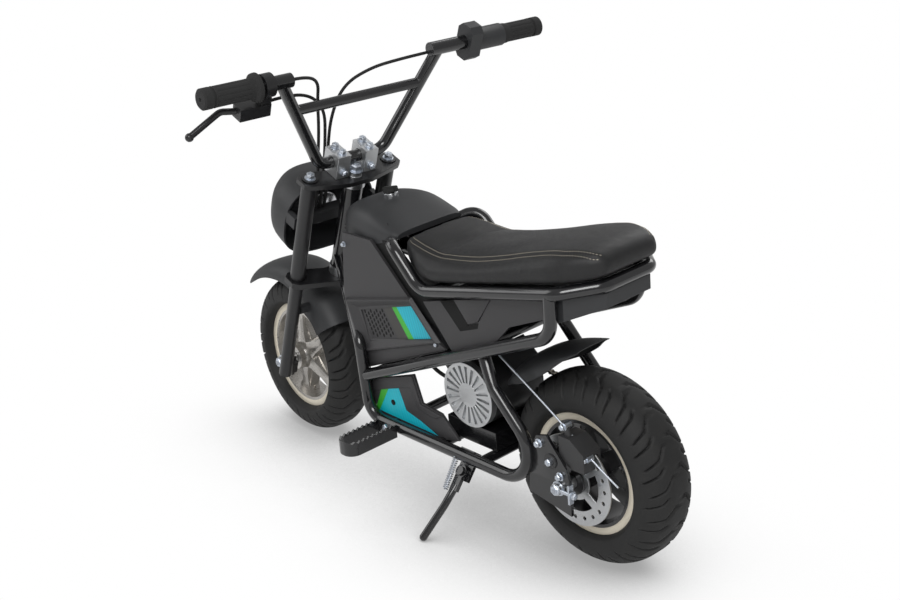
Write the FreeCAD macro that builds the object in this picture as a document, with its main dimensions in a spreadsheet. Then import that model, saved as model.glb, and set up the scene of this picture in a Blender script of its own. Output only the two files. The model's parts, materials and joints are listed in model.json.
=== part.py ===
import FreeCAD, Part
import math
import os
import Sketcher
from FreeCAD import Placement, Rotation, Vector

# Electric minibike, leaning on its side stand. Lengths in millimetres, angles in degrees.
# Every piece is drawn in a frame of its own and placed from there:
#   bike frame   x forward from the rear axle, y to the rider's left, z up from the ground, bike upright
#   fork frame   origin on the front axle, z up along the fork legs, x forward of them, y left
#   wheel frames origin at the middle of the axle, y along it
# Last of all the whole bike leans onto its stand, and its origin moves to the middle of its footprint.

DIMENSIONS = (
    # name, value, what it is
    ("wheelbase", 676, "rear axle to front axle"),
    ("lean_angle", 6, "parked lean to the left, onto the side stand"),
    ("steer_angle", -4.6, "turn of the bars when parked, positive to the left"),
    ("head_angle", 20, "fork legs and steering axis from the vertical"),
    ("axle_lead", 25, "front axle ahead of the fork legs"),
    ("stem_setback", 14, "steering axis behind the fork legs"),
    ("rear_tyre_radius", 146, "rear tyre, over the tread"),
    ("rear_tyre_width", 94, "rear tyre across its sidewalls"),
    ("rear_tyre_crown", 40, "radius of the rear tyre's shoulders"),
    ("front_tyre_radius", 137, "front tyre, over the tread"),
    ("front_tyre_width", 78, "front tyre across its sidewalls"),
    ("front_tyre_crown", 33, "radius of the front tyre's shoulders"),
    ("rim_radius", 89.5, "rim flange"),
    ("rim_seat", 82, "bead seat radius"),
    ("rim_inner", 77.5, "inside of the rim's barrel"),
    ("rim_lip", 4, "width of a rim flange"),
    ("rear_rim_width", 71, "rear rim over its flanges"),
    ("front_rim_width", 47, "front rim over its flanges"),
    ("spoke_count", 5, "spokes of a wheel"),
    ("spoke_root", 30, "spoke width at the hub"),
    ("spoke_end", 20, "spoke width at the rim"),
    ("spoke_depth", 16, "spoke along the axle"),
    ("hub_radius", 21, "wheel hub"),
    ("rear_hub_half", 62, "half the rear hub's length"),
    ("front_hub_half", 40, "half the front hub's length"),
    ("axle_radius", 6, "both wheel axles"),
    ("bearing_gap", 0.05, "radial clearance of a turning fit"),
    ("side_gap", 0.4, "clearance at the ends of a hub"),
    ("collar_radius", 10, "spacer on an axle"),
    ("nut_radius", 9, "axle nut, half its width across flats"),
    ("nut_height", 7, "axle nut"),
    ("rotor_radius", 70, "brake disc"),
    ("rotor_inner", 47, "inside of the brake disc's ring"),
    ("rotor_thickness", 3, "brake disc"),
    ("rotor_offset", 58, "brake disc's middle from the wheel's middle"),
    ("rotor_hole", 3, "radius of a hole in the brake disc"),
    ("rotor_hole_pitch", 58, "circle of the holes in the brake disc"),
    ("rotor_holes", 20, "holes in the brake disc"),
    ("rotor_arm", 14, "width of an arm of the brake disc"),
    ("chain_offset", 58, "chain's middle from the middle plane"),
    ("chain_ring", 54, "pitch radius of the rear sprocket"),
    ("pinion_ring", 14, "pitch radius of the motor sprocket"),
    ("sprocket_thickness", 4, "both sprockets"),
    ("sprocket_teeth", 42, "teeth of the rear sprocket"),
    ("tooth_depth", 3, "sprocket tooth"),
    ("roller_band", 1.8, "chain rollers above and below the pitch line"),
    ("roller_width", 5.4, "between the chain's plates"),
    ("chain_half_depth", 3.6, "chain plates above and below the pitch line"),
    ("chain_width", 8.4, "chain over its plates"),
    ("chain_gap", 0.6, "clearance of a sprocket in the chain"),
    ("weld", 1, "how far joined shapes run into each other"),
    ("disc_rim", 9, "ring of a wheel disc round the hub"),
    ("sprocket_rim", 9, "toothed ring of the rear sprocket"),
    ("tube_radius", 9.5, "frame tubes"),
    ("fit", 0.3, "clearance between pieces that seat on each other"),
    ("frame_half", 90, "side tubes, rails and seat loop from the middle plane"),
    ("rail_front_x", 409, "front end of the middle rails"),
    ("rail_front_z", 203, "front end of the middle rails"),
    ("rail_slope", 0.423, "rise of the middle rails for each millimetre to the rear"),
    ("rail_rear_x", -3, "corner of the middle rails below the seat"),
    ("rail_bend", 36, "bend radius of that corner"),
    ("bottom_rail_z", 132, "bottom stretch of the side tubes"),
    ("down_tube_x", 420, "side tubes at their upper front bend"),
    ("down_tube_z", 255, "side tubes at their upper front bend"),
    ("front_corner_x", 411, "lower front corner of the side tubes"),
    ("rear_corner_x", -10, "lower rear corner of the side tubes"),
    ("stay_bend_x", 118, "side tubes at their upper rear bend"),
    ("stay_bend_z", 265, "side tubes at their upper rear bend"),
    ("stay_end_x", 148, "rear ends of the side tubes, under the middle rails"),
    ("stay_tuck", 10, "rear ends of the side tubes inside the middle rails"),
    ("head_end", 235, "front ends of the side tubes along the steering axis"),
    ("head_end_half", 8, "front ends of the side tubes from the middle plane"),
    ("front_bend", 32, "bend radius at the front corners"),
    ("rear_bend", 50, "bend radius at the rear corners"),
    ("slight_bend", 26, "bend radius of the slight bends"),
    ("loop_rear_half", 46, "seat loop's rear edge from the middle plane"),
    ("loop_front_x", 262, "front bend of the seat loop"),
    ("loop_front_z", 380, "front bend of the seat loop"),
    ("loop_side_x", -15, "where the seat loop's sides end"),
    ("loop_side_z", 442, "where the seat loop's sides end"),
    ("loop_rear_x", -62, "rear edge of the seat loop"),
    ("loop_rear_z", 451, "rear edge of the seat loop"),
    ("loop_leg_x", 322, "top of the seat loop's front legs"),
    ("loop_leg_z", 443, "top of the seat loop's front legs"),
    ("loop_end_x", 402, "front ends of the seat loop, on the backbone"),
    ("loop_bend", 30, "bend radius of the seat loop"),
    ("head_tube_radius", 17, "head tube"),
    ("head_tube_low", 215, "lower end of the head tube along the fork"),
    ("head_tube_high", 372, "upper end of the head tube along the fork"),
    ("stem_radius", 12, "steering stem"),
    ("stem_cup_radius", 19, "bearing cups on the stem"),
    ("backbone_radius", 14, "backbone tube"),
    ("backbone_front_z", 404, "backbone at the head tube"),
    ("seat_cross_x", 235, "cross tube under the seat"),
    ("cross_radius", 8, "cross tubes"),
    ("rear_cross_x", 185, "rear cross tube between the middle rails"),
    ("front_cross_x", 392, "front cross tube between the middle rails"),
    ("middle_cross_x", 290, "cross tube below the back of the battery"),
    ("peg_x", 357, "foot pegs and their cross tube"),
    ("cradle_front_x", 250, "front cross tube below the motor"),
    ("cradle_rear_x", 160, "rear cross tube below the motor"),
    ("cradle_length", 104, "box below the motor"),
    ("cradle_width", 124, "box below the motor"),
    ("motor_x", 200, "motor's axis"),
    ("motor_z", 222, "motor's axis"),
    ("motor_radius", 51, "motor"),
    ("motor_right", -40, "right end of the motor"),
    ("motor_left", 58, "left end of the motor, under its cover"),
    ("motor_shaft", 6, "radius of the motor's shaft"),
    ("cover_height", 11, "motor cover along the axis"),
    ("cover_slots", 20, "slots in the motor cover"),
    ("cover_boss", 14, "plain middle of the motor cover"),
    ("slot_width", 3, "slot in the motor cover, at its inner end"),
    ("slot_depth", 5, "slot in the motor cover"),
    ("cover_rim", 5, "plain rim of the motor cover"),
    ("battery_length", 165, "battery pack"),
    ("battery_width", 120, "battery pack"),
    ("battery_height", 80, "battery pack"),
    ("panel_wall", 3, "thinnest wall of the covers"),
    ("panel_relief", 2, "depth of the sunk areas of a side cover"),
    ("panel_tuck", 4, "lower edge of a rear cover above a middle rail's centre line"),
    ("panel_edge", 10.6, "height of a side cover's edge above or below a middle rail's centre line"),
    ("dropout_wall", 5, "rear dropout plates"),
    ("dropout_inner", 84, "inner face of the dropout plates from the middle plane"),
    ("peg_reach", 92, "foot peg past the side tube"),
    ("peg_width", 40, "foot peg along the bike"),
    ("peg_height", 24, "foot peg"),
    ("peg_strip", 4, "strip that the foot peg is bent from"),
    ("peg_bend", 18, "outer corners of the foot peg"),
    ("tooth_pitch", 9, "teeth of the foot peg"),
    ("leg_half", 75, "fork legs from the middle plane"),
    ("leg_upper_radius", 12.5, "upper tube of a fork leg"),
    ("leg_lower_radius", 11, "lower tube of a fork leg"),
    ("yoke_z", 190, "underside of the lower yoke along the fork"),
    ("yoke_height", 10, "lower yoke"),
    ("clamp_z", 383, "underside of the top clamp along the fork"),
    ("clamp_height", 8, "top clamp"),
    ("tab_inner", 56, "inner face of a fork leg's axle tab"),
    ("tab_wall", 8.5, "axle tab"),
    ("tab_radius", 13, "axle tab around the axle"),
    ("bar_x", -20, "handlebar's grips ahead of the front axle"),
    ("bar_z", 577, "handlebar's grips along the fork"),
    ("bar_radius", 11, "handlebar's stubs"),
    ("stub_inner", 128, "inner ends of the handlebar's stubs"),
    ("left_bar", 276, "left end of the handlebar"),
    ("right_bar", 346, "right end of the handlebar"),
    ("riser_half", 146, "tops of the handlebar's risers"),
    ("riser_radius", 9.5, "handlebar's risers and cross brace"),
    ("riser_foot_x", -24, "bottom of the handlebar ahead of the front axle"),
    ("riser_foot_z", 414, "bottom of the handlebar along the fork"),
    ("riser_foot_half", 60, "bottom corners of the handlebar"),
    ("brace_z", 522, "cross brace along the fork"),
    ("bar_clamp_half", 26, "handlebar clamps from the middle plane"),
    ("bar_clamp_width", 24, "handlebar clamp"),
    ("bar_clamp_length", 38, "handlebar clamp, front to back"),
    ("bar_clamp_top", 431, "top of the handlebar clamps along the fork"),
    ("grip_radius", 16, "left grip"),
    ("grip_flange", 22, "inner flange of the left grip"),
    ("grip_start", 187, "inner end of the left grip"),
    ("twist_radius", 15.5, "right grip"),
    ("case_radius", 29, "throttle case, half its height"),
    ("case_depth", 36, "throttle case, front to back"),
    ("case_start", 196, "inner end of the throttle case"),
    ("case_width", 23, "throttle case along the handlebar"),
    ("sleeve_length", 50, "sleeve between the throttle case and the right grip"),
    ("sleeve_radius", 18, "sleeve between the throttle case and the right grip"),
    ("lever_start", 163, "inner side of the brake lever's clamp"),
    ("lever_radius", 5, "blade of the brake lever"),
    ("brace_radius", 8, "cross brace of the handlebar"),
    ("stem_nut", 11, "nut on the steering stem"),
    ("key_x", 420, "key switch"),
    ("key_radius", 12, "key switch"),
    ("key_height", 6, "key switch"),
    ("port_x", 365, "charge port"),
    ("port_y", 64, "charge port"),
    ("port_z", 450, "charge port"),
    ("port_radius", 8, "charge port"),
    ("port_depth", 12, "how deep the charge port's hole is cut"),
    ("caliper_inner", 49, "inner face of the brake caliper"),
    ("pad_gap", 1.5, "room on each side of the brake disc"),
    ("tongue_width", 60, "tongue of the rear fender"),
    ("rear_fender_tip", 88, "rear end of the rear fender, round the wheel from straight ahead"),
    ("rear_fender_sweep", 53, "rear fender round the wheel"),
    ("front_fender_tip", 145, "rear end of the front fender, round the wheel"),
    ("front_fender_sweep", 104, "front fender round the wheel"),
    ("front_skirt_sweep", 46, "deep sides of the front fender's rear end, round the wheel"),
    ("fender_boss", 130, "front fender's bosses along the fork legs"),
    ("headlight_x", 12, "back edge of the headlight shell ahead of the front axle"),
    ("headlight_z", 281, "middle of the headlight along the fork"),
    ("headlight_half_width", 86, "headlight shell"),
    ("headlight_half_height", 68, "headlight shell"),
    ("headlight_depth", 78, "headlight shell"),
    ("headlight_wall", 3, "headlight shell"),
    ("lens_radius", 46, "headlight lens"),
    ("fender_wall", 3, "both fenders"),
    ("front_fender_radius", 169, "crown of the front fender"),
    ("front_fender_shift", 11, "centre of the front fender's curve ahead of the axle"),
    ("front_fender_half", 48, "front fender from its middle to its edge"),
    ("rear_fender_radius", 184, "crown of the rear fender"),
    ("rear_fender_half", 58, "rear fender from its middle to its edge"),
    ("stand_x", 192, "side stand's pivot"),
    ("stand_y", 99, "side stand's pivot from the middle plane"),
    ("stand_z", 110, "side stand's pivot above the ground"),
    ("stand_foot_x", 210, "foot of the side stand"),
    ("stand_foot_y", 170, "foot of the side stand from the middle plane"),
    ("stand_neck", 21, "flat top of the side stand, from its pivot to its rod"),
    ("stand_rod", 6, "radius of the side stand's rod"),
    ("stand_eye", 10, "eye of the side stand"),
    ("stand_pin", 4, "side stand's pivot pin"),
    ("stand_bracket", 6, "plate that carries the side stand"),
    ("stand_plate", 7, "eye of the side stand along its pivot"),
    ("lead_radius", 3, "motor lead"),
    ("cable_radius", 2.5, "cables on the handlebar"),
    ("brake_wire", 1.5, "rear brake's cable"),
)


class Size(float):
    """A number of the sheet, or worked out from some, that remembers its formula."""

    def __new__(cls, value, formula=None):
        size = super().__new__(cls, value)
        size.formula = formula if formula else repr(float(value))
        return size

    def joined(self, sign, other, value, swapped=False):
        other = other if isinstance(other, Size) else Size(other)
        first, second = (other, self) if swapped else (self, other)
        return Size(value, f"({first.formula} {sign} {second.formula})")

    def __add__(self, other):
        return self.joined("+", other, float(self) + float(other))

    def __radd__(self, other):
        return self.joined("+", other, float(other) + float(self), swapped=True)

    def __sub__(self, other):
        return self.joined("-", other, float(self) - float(other))

    def __rsub__(self, other):
        return self.joined("-", other, float(other) - float(self), swapped=True)

    def __mul__(self, other):
        return self.joined("*", other, float(self) * float(other))

    def __rmul__(self, other):
        return self.joined("*", other, float(other) * float(self), swapped=True)

    def __truediv__(self, other):
        return self.joined("/", other, float(self) / float(other))

    def __neg__(self):
        return Size(-float(self), f"(-1 * {self.formula})")


doc = FreeCAD.newDocument("Minibike")
sheet = doc.addObject("Spreadsheet::Sheet", "Sizes")


class Dimensions:
    """The sheet's sizes by name."""

    def __init__(self, rows):
        for number, (name, value, meaning) in enumerate(rows, start=1):
            sheet.set(f"A{number}", name)
            sheet.set(f"B{number}", str(value))
            sheet.set(f"C{number}", meaning)
            sheet.setAlias(f"B{number}", name)
            setattr(self, name, Size(value, f"Sizes.{name}"))


d = Dimensions(DIMENSIONS)
doc.recompute()

sub_parts = []
LIMIT = 0.001


def formula(size):
    """The sheet formula of a size, or nothing where it is a plain number."""
    return size.formula if isinstance(size, Size) and "Sizes." in size.formula else None


def bind_one(thing, name, size):
    """Ties one property of an object to the sheet."""
    if formula(size):
        thing.setExpression(name, formula(size))
    else:
        setattr(thing, name, float(size))


def bind(thing, **sizes):
    """Ties properties of an object to the sheet."""
    for name, size in sizes.items():
        bind_one(thing, name, size)


def sub_part(thing, label, placement):
    """Names a finished piece and keeps its place in the upright bike."""
    thing.Label = label
    sub_parts.append((thing, placement))
    return thing


def flat(point):
    """A sketch point as plain numbers."""
    return Vector(float(point[0]), float(point[1]), 0)


class Draft:
    """Lines and circles of a sketch, tied to the sheet in one go."""

    def __init__(self, sketch):
        self.sketch = sketch
        self.rules = []

    def rule(self, *words, size=None):
        """Notes one constraint and the size it follows."""
        if size is not None:
            words = (*words, float(size))
        self.rules.append((Sketcher.Constraint(*words), size))

    def pin(self, geometry, vertex, place):
        """Fixes a point at two sizes."""
        for kind, axis, size in (("DistanceX", -2, place[0]), ("DistanceY", -1, place[1])):
            if float(size) == 0.0 and not formula(size):
                self.rule("PointOnObject", geometry, vertex, axis)
            else:
                self.rule(kind, -1, 1, geometry, vertex, size=size)

    def outline(self, corners):
        """A closed outline of straight lines through its corners."""
        count = len(corners)
        lines = [self.sketch.addGeometry(Part.LineSegment(flat(corners[i]), flat(corners[(i + 1) % count])),
                                         False) for i in range(count)]
        for i, corner in enumerate(corners):
            self.rule("Coincident", lines[i - 1], 2, lines[i], 1)
            self.pin(lines[i], 1, corner)

    def circle(self, u, v, radius):
        """A circle of a given centre and radius."""
        circle = self.sketch.addGeometry(Part.Circle(flat((u, v)), Vector(0, 0, 1), float(radius)), False)
        self.pin(circle, 3, (u, v))
        self.rule("Radius", circle, size=radius)

    def close(self):
        """Hands the constraints to the sketch."""
        self.sketch.addConstraint([rule for rule, size in self.rules])
        for index, (rule, size) in enumerate(self.rules):
            if formula(size):
                self.sketch.setExpression(f"Constraints[{index}]", formula(size))


class Body:
    """A PartDesign body, made feature by feature."""

    def __init__(self, label):
        self.body = doc.addObject("PartDesign::Body", "Body_" + label)
        self.label = label
        self.count = 0

    def plane(self, role):
        return next(f for f in self.body.Origin.OriginFeatures if f.Role == role)

    def sketch(self, role="XZ_Plane", outlines=(), circles=(), offset=0.0):
        """A sketch on an origin plane, moved along the plane's normal by an offset."""
        self.count += 1
        sketch = self.body.newObject("Sketcher::SketchObject", f"{self.label}_sketch_{self.count}")
        sketch.AttachmentSupport = [(self.plane(role), "")]
        sketch.MapMode = "FlatFace"
        if offset:
            if isinstance(offset, Size) and "Sizes." in offset.formula:
                sketch.setExpression("AttachmentOffset.Base.z", offset.formula)
            sketch.AttachmentOffset = Placement(Vector(0, 0, float(offset)), Rotation())
        draft = Draft(sketch)
        for outline in outlines:
            draft.outline(outline)
        for circle in circles:
            draft.circle(*circle)
        draft.close()
        return sketch

    def feature(self, kind, profile, **sizes):
        self.count += 1
        made = self.body.newObject(f"PartDesign::{kind}", f"{self.label}_{kind.lower()}_{self.count}")
        made.Profile = profile
        bind(made, **sizes)
        return made

    def pad(self, profile, length, side="One side", reverse=False, **sizes):
        made = self.feature("Pad", profile, Length=length, **sizes)
        made.SideType = side
        made.Reversed = reverse
        return made

    def pocket(self, profile, length=None, side="One side", reverse=False, **sizes):
        made = self.feature("Pocket", profile, **sizes)
        if length is None:
            made.Type = 1
            made.SideType = "Symmetric"
        else:
            bind(made, Length=length)
            made.SideType = side
            made.Reversed = reverse
        return made

    def spin(self, profile, axis="V_Axis", kind="Revolution", angle=360.0):
        made = self.feature(kind, profile, Angle=angle)
        made.ReferenceAxis = (profile, [axis])
        return made

    def rounded(self, chosen, radius):
        """Fillets the edges that a test picks."""
        self.count += 1
        doc.recompute()
        tip = self.body.Tip
        edges = [f"Edge{number}" for number, edge in enumerate(tip.Shape.Edges, start=1) if chosen(edge)]
        made = self.body.newObject("PartDesign::Fillet", f"{self.label}_fillet_{self.count}")
        made.Base = (tip, edges)
        bind(made, Radius=radius)
        return made

    def polar(self, features, count, role="Y_Axis"):
        self.count += 1
        made = self.body.newObject("PartDesign::PolarPattern", f"{self.label}_pattern_{self.count}")
        made.Originals = features
        axis = next(f for f in self.body.Origin.OriginFeatures if f.Role == role)
        made.Axis = (axis, [""])
        made.Angle = 360
        bind(made, Occurrences=count)
        self.body.Tip = made
        return made


def part_object(kind, name, **sizes):
    """A Part primitive with its sizes tied to the sheet."""
    made = doc.addObject(f"Part::{kind}", name)
    bind(made, **sizes)
    return made


def shape_object(name, shape):
    """A piece whose shape is set directly."""
    made = doc.addObject("Part::Feature", name)
    made.Shape = shape
    return made


def cut(name, base, tools):
    """A piece less others."""
    tool = tools[0]
    if len(tools) > 1:
        tool = doc.addObject("Part::MultiFuse", name + "_tools")
        tool.Shapes = tools
    made = doc.addObject("Part::Cut", name)
    made.Base = base
    made.Tool = tool
    return made


def fused(name, things):
    """Pieces welded into one."""
    made = doc.addObject("Part::MultiFuse", name)
    made.Shapes = things
    return made


def gathered(name, things):
    """Like pieces that share a node without touching."""
    made = doc.addObject("Part::Compound", name)
    made.Links = things
    return made


def bent_path(route):
    """A wire of straight runs and tangent arcs; a route's row is (x, y, z, bend radius)."""
    points = [Vector(*(float(value) for value in row[:3])) for row in route]
    edges = []
    here = points[0]
    for before, corner, after, row in zip(points, points[1:], points[2:], route[1:]):
        back = (before - corner).normalize()
        ahead = (after - corner).normalize()
        half = back.getAngle(ahead) / 2
        trim = float(row[3]) / math.tan(half)
        start, end = corner + back * trim, corner + ahead * trim
        middle = (back + ahead).normalize()
        crest = corner + middle * (float(row[3]) / math.sin(half) - float(row[3]))
        edges.append(Part.LineSegment(here, start).toShape())
        edges.append(Part.Arc(start, crest, end).toShape())
        here = end
    edges.append(Part.LineSegment(here, points[-1]).toShape())
    return Part.Wire(edges)


def bar(name, route, radius):
    """A round bar or tube swept along a bent path."""
    path = shape_object(name + "_path", bent_path(route))
    start, ahead = (Vector(*(float(value) for value in row[:3])) for row in route[:2])
    section = part_object("Circle", name + "_section", Radius=radius)
    section.Placement = Placement(start, Rotation(Vector(0, 0, 1), ahead - start))
    made = doc.addObject("Part::Sweep", name)
    made.Sections = [section]
    made.Spine = (path, [f"Edge{number}" for number in range(1, len(path.Shape.Edges) + 1)])
    made.Solid = True
    made.Transition = 1
    return made


def cross_bar(name, x, z, half, radius):
    """A straight bar across the bike, from side to side."""
    made = part_object("Cylinder", name, Radius=radius, Height=2 * half)
    made.Placement = Placement(Vector(x, -half, z), Rotation(Vector(0, 0, 1), Vector(0, 1, 0)))
    return made


def lofted(name, sections):
    """A solid through sections of straight edges, each a list of points."""
    wires = [Part.makePolygon([Vector(*(float(v) for v in p)) for p in section + section[:1]])
             for section in sections]
    return shape_object(name, Part.makeLoft(wires, True, True))


# Frames of reference

UPRIGHT = Placement()
REAR_AXLE = Placement(Vector(0, 0, d.rear_tyre_radius), Rotation())
FRONT_AXLE = Placement(Vector(d.wheelbase, 0, d.front_tyre_radius), Rotation())
FORK_STRAIGHT = FRONT_AXLE * Placement(Vector(), Rotation(Vector(0, 1, 0), -d.head_angle))
stem_x = -d.axle_lead - d.stem_setback
STEERING_POINT = FORK_STRAIGHT.multVec(Vector(stem_x, 0, 0))
STEERING_AXIS = FORK_STRAIGHT.Rotation.multVec(Vector(0, 0, 1))
TURN = Placement(Vector(), Rotation(STEERING_AXIS, d.steer_angle), STEERING_POINT)
FORK = TURN * FORK_STRAIGHT
FRONT_WHEEL = TURN * FRONT_AXLE


def rail_height(x):
    """Height of the middle rails' centre line at x."""
    return d.rail_front_z + d.rail_slope * (d.rail_front_x - x)


def on_steering_axis(along):
    """A point of the steering axis in the bike frame, by its height along the fork."""
    return FORK_STRAIGHT.multVec(Vector(stem_x, 0, along))


# Wheels


CROWN_TURNS = [math.radians(turn) for turn in (0, 24, 47, 69, 90)]


def crown_rows(radius, width, crown):
    """One side of a tyre's crown, from its sidewall up: (radius, distance from the middle)."""
    return [(radius - crown + crown * math.sin(turn), width / 2 - crown + crown * math.cos(turn))
            for turn in CROWN_TURNS]


def tyre(label, radius, width, crown, rim_width, placement):
    """A tyre: bead seats, sidewalls and a rounded crown, spun about the axle."""
    body = Body(label)
    bead = rim_width / 2 - d.rim_lip
    side = [(d.rim_seat, bead), (d.rim_radius + d.weld, bead), *crown_rows(radius, width, crown)]
    section = body.sketch("XY_Plane", [side + [(reach, -along) for reach, along in reversed(side)]])
    body.spin(section)
    return sub_part(body.body, label, placement)


def hub_and_rim(label, half_width, hub_half, placement):
    """A five-spoke wheel: flanged barrel, hub with its bore, and spokes."""
    body = Body(label)
    flange, seat, inner = d.rim_radius, d.rim_seat, d.rim_inner
    ledge = half_width - d.rim_lip
    barrel = body.sketch("XY_Plane", [[
        (inner, half_width), (flange, half_width), (flange, ledge), (seat, ledge),
        (seat, -ledge), (flange, -ledge), (flange, -half_width), (inner, -half_width),
    ]])
    body.spin(barrel)
    bore = d.axle_radius + d.bearing_gap
    hub = body.sketch("XY_Plane", [[
        (bore, hub_half), (d.hub_radius, hub_half), (d.hub_radius, -hub_half), (bore, -hub_half),
    ]])
    body.spin(hub)
    root, end = d.spoke_root / 2, d.spoke_end / 2
    start, reach = d.hub_radius - d.weld, d.rim_inner + d.weld
    spoke = body.sketch("XZ_Plane", [[(start, -root), (reach, -end), (reach, end), (start, root)]])
    arm = body.pad(spoke, d.spoke_depth, "Symmetric")
    body.polar([arm], d.spoke_count)
    return sub_part(body.body, label, placement)


def wheel_disc(label, radius, inner, thickness, offset, holes, placement):
    """A flat ring on the hub with five arms, its holes in a circle."""
    body = Body(label)
    middle = offset + thickness / 2
    ring = body.sketch("XZ_Plane", circles=[(0, 0, radius), (0, 0, inner)], offset=-middle)
    body.pad(ring, thickness)
    centre = d.hub_radius + d.bearing_gap
    disc = body.sketch("XZ_Plane", circles=[(0, 0, d.hub_radius + d.disc_rim), (0, 0, centre)],
                       offset=-middle)
    body.pad(disc, thickness)
    half = d.rotor_arm / 2
    start, reach = d.hub_radius + d.disc_rim - d.weld, inner + d.weld
    arm = body.sketch("XZ_Plane", [[(start, -half), (reach, -half), (reach, half), (start, half)]],
                      offset=-middle)
    arm = body.pad(arm, thickness)
    body.polar([arm], d.spoke_count)
    if holes:
        radius, pitch, count = holes
        hole = body.sketch("XZ_Plane", circles=[(pitch, 0, radius)], offset=-middle)
        hole = body.pocket(hole)
        body.polar([hole], count)
    return sub_part(body.body, label, placement)


def axle(label, hub_half, collar_end, nut_start, placement):
    """A wheel axle with its spacers and nuts."""
    body = Body(label)
    shank, collar, nut = d.axle_radius, d.collar_radius, d.nut_radius
    inner = hub_half + d.side_gap
    tip = nut_start + d.nut_height
    profile = [(0, tip), (nut, tip), (nut, nut_start), (shank, nut_start), (shank, collar_end),
               (collar, collar_end), (collar, inner), (shank, inner)]
    profile += [(radius, -along) for radius, along in reversed(profile)]
    section = body.sketch("XY_Plane", [profile])
    body.spin(section)
    return sub_part(body.body, label, placement)


rear_tyre = tyre("rear_tyre", d.rear_tyre_radius, d.rear_tyre_width, d.rear_tyre_crown,
                 d.rear_rim_width, REAR_AXLE)
front_tyre = tyre("front_tyre", d.front_tyre_radius, d.front_tyre_width, d.front_tyre_crown,
                  d.front_rim_width, FRONT_WHEEL)
hub_and_rim("rear_rim", d.rear_rim_width / 2, d.rear_hub_half, REAR_AXLE)
hub_and_rim("front_rim", d.front_rim_width / 2, d.front_hub_half, FRONT_WHEEL)
wheel_disc("brake_rotor", d.rotor_radius, d.rotor_inner, d.rotor_thickness, d.rotor_offset,
           (d.rotor_hole, d.rotor_hole_pitch, d.rotor_holes), REAR_AXLE)
sprocket_tip = d.chain_ring - d.roller_band - d.chain_gap
wheel_disc("rear_sprocket", sprocket_tip, sprocket_tip - d.sprocket_rim, d.sprocket_thickness,
           -d.chain_offset, None, REAR_AXLE)
axle("rear_axle", d.rear_hub_half, d.dropout_inner - d.fit,
     d.dropout_inner + d.dropout_wall + d.fit, REAR_AXLE)
axle("front_axle", d.front_hub_half, d.tab_inner - d.fit, d.tab_inner + d.tab_wall + d.fit, FORK)


# Frame tubes


def side_route(side):
    """A side tube: head tube, down, back along the bottom and up to the middle rail."""
    front = on_steering_axis(d.head_end)
    half = side * d.frame_half
    return [
        (front.x, side * d.head_end_half, front.z),
        (d.down_tube_x, half, d.down_tube_z, d.slight_bend),
        (d.front_corner_x, half, d.bottom_rail_z, d.front_bend),
        (d.rear_corner_x, half, d.bottom_rail_z, d.rear_bend),
        (d.stay_bend_x, half, d.stay_bend_z, d.slight_bend),
        (d.stay_end_x, half - side * d.stay_tuck, rail_height(d.stay_end_x)),
    ]


def rail_route(side):
    """A middle rail: from the down tube back to the corner and up to the seat loop."""
    half = side * d.frame_half
    front = d.rail_front_x + d.weld
    return [
        (front, half, rail_height(front)),
        (d.rail_rear_x, half, rail_height(d.rail_rear_x), d.rail_bend),
        (d.rail_rear_x, half, loop_height(d.rail_rear_x)),
    ]


def loop_height(x):
    """Height of the seat loop's sides at x."""
    rise = (d.loop_side_z - d.loop_front_z) / (d.loop_side_x - d.loop_front_x)
    return d.loop_front_z + rise * (x - d.loop_front_x)


def backbone_height(x):
    """Height of the backbone's centre line at x."""
    front = on_steering_axis(head_side(d.backbone_front_z))
    rise = (d.backbone_front_z - loop_height(d.seat_cross_x)) / (front.x - d.seat_cross_x)
    return loop_height(d.seat_cross_x) + rise * (x - d.seat_cross_x)


def head_side(height):
    """How far up the steering axis a height is reached."""
    low, high = on_steering_axis(0), on_steering_axis(1)
    return (height - low.z) / (high.z - low.z)


LOOP_ROUTE = [
    (d.loop_end_x, d.head_end_half, backbone_height(d.loop_end_x)),
    (d.loop_leg_x, d.frame_half, d.loop_leg_z, d.slight_bend),
    (d.loop_front_x, d.frame_half, d.loop_front_z, d.rail_bend),
    (d.loop_side_x, d.frame_half, d.loop_side_z, d.loop_bend),
    (d.loop_rear_x, d.loop_rear_half, d.loop_rear_z, d.slight_bend),
    (d.loop_rear_x, -d.loop_rear_half, d.loop_rear_z, d.slight_bend),
    (d.loop_side_x, -d.frame_half, d.loop_side_z, d.loop_bend),
    (d.loop_front_x, -d.frame_half, d.loop_front_z, d.rail_bend),
    (d.loop_leg_x, -d.frame_half, d.loop_leg_z, d.slight_bend),
    (d.loop_end_x, -d.head_end_half, backbone_height(d.loop_end_x)),
]


def rod(name, start, end, radius):
    """A straight round bar between two points."""
    start, end = (Vector(*(float(value) for value in point)) for point in (start, end))
    made = part_object("Cylinder", name, Radius=radius)
    made.Height = (end - start).Length
    made.Placement = Placement(start, Rotation(Vector(0, 0, 1), end - start))
    return made


def ball(name, centre, radius):
    """A ball at a point."""
    made = part_object("Sphere", name, Radius=radius)
    made.Placement = Placement(Vector(*(float(value) for value in centre[:3])), Rotation())
    return made


def side_rod(name, x1, z1, x2, z2, side, radius):
    """A straight bar along a stretch of a side tube, rail or seat loop."""
    half = side * d.frame_half
    return rod(name, (x1, half, z1), (x2, half, z2), radius)


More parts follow.
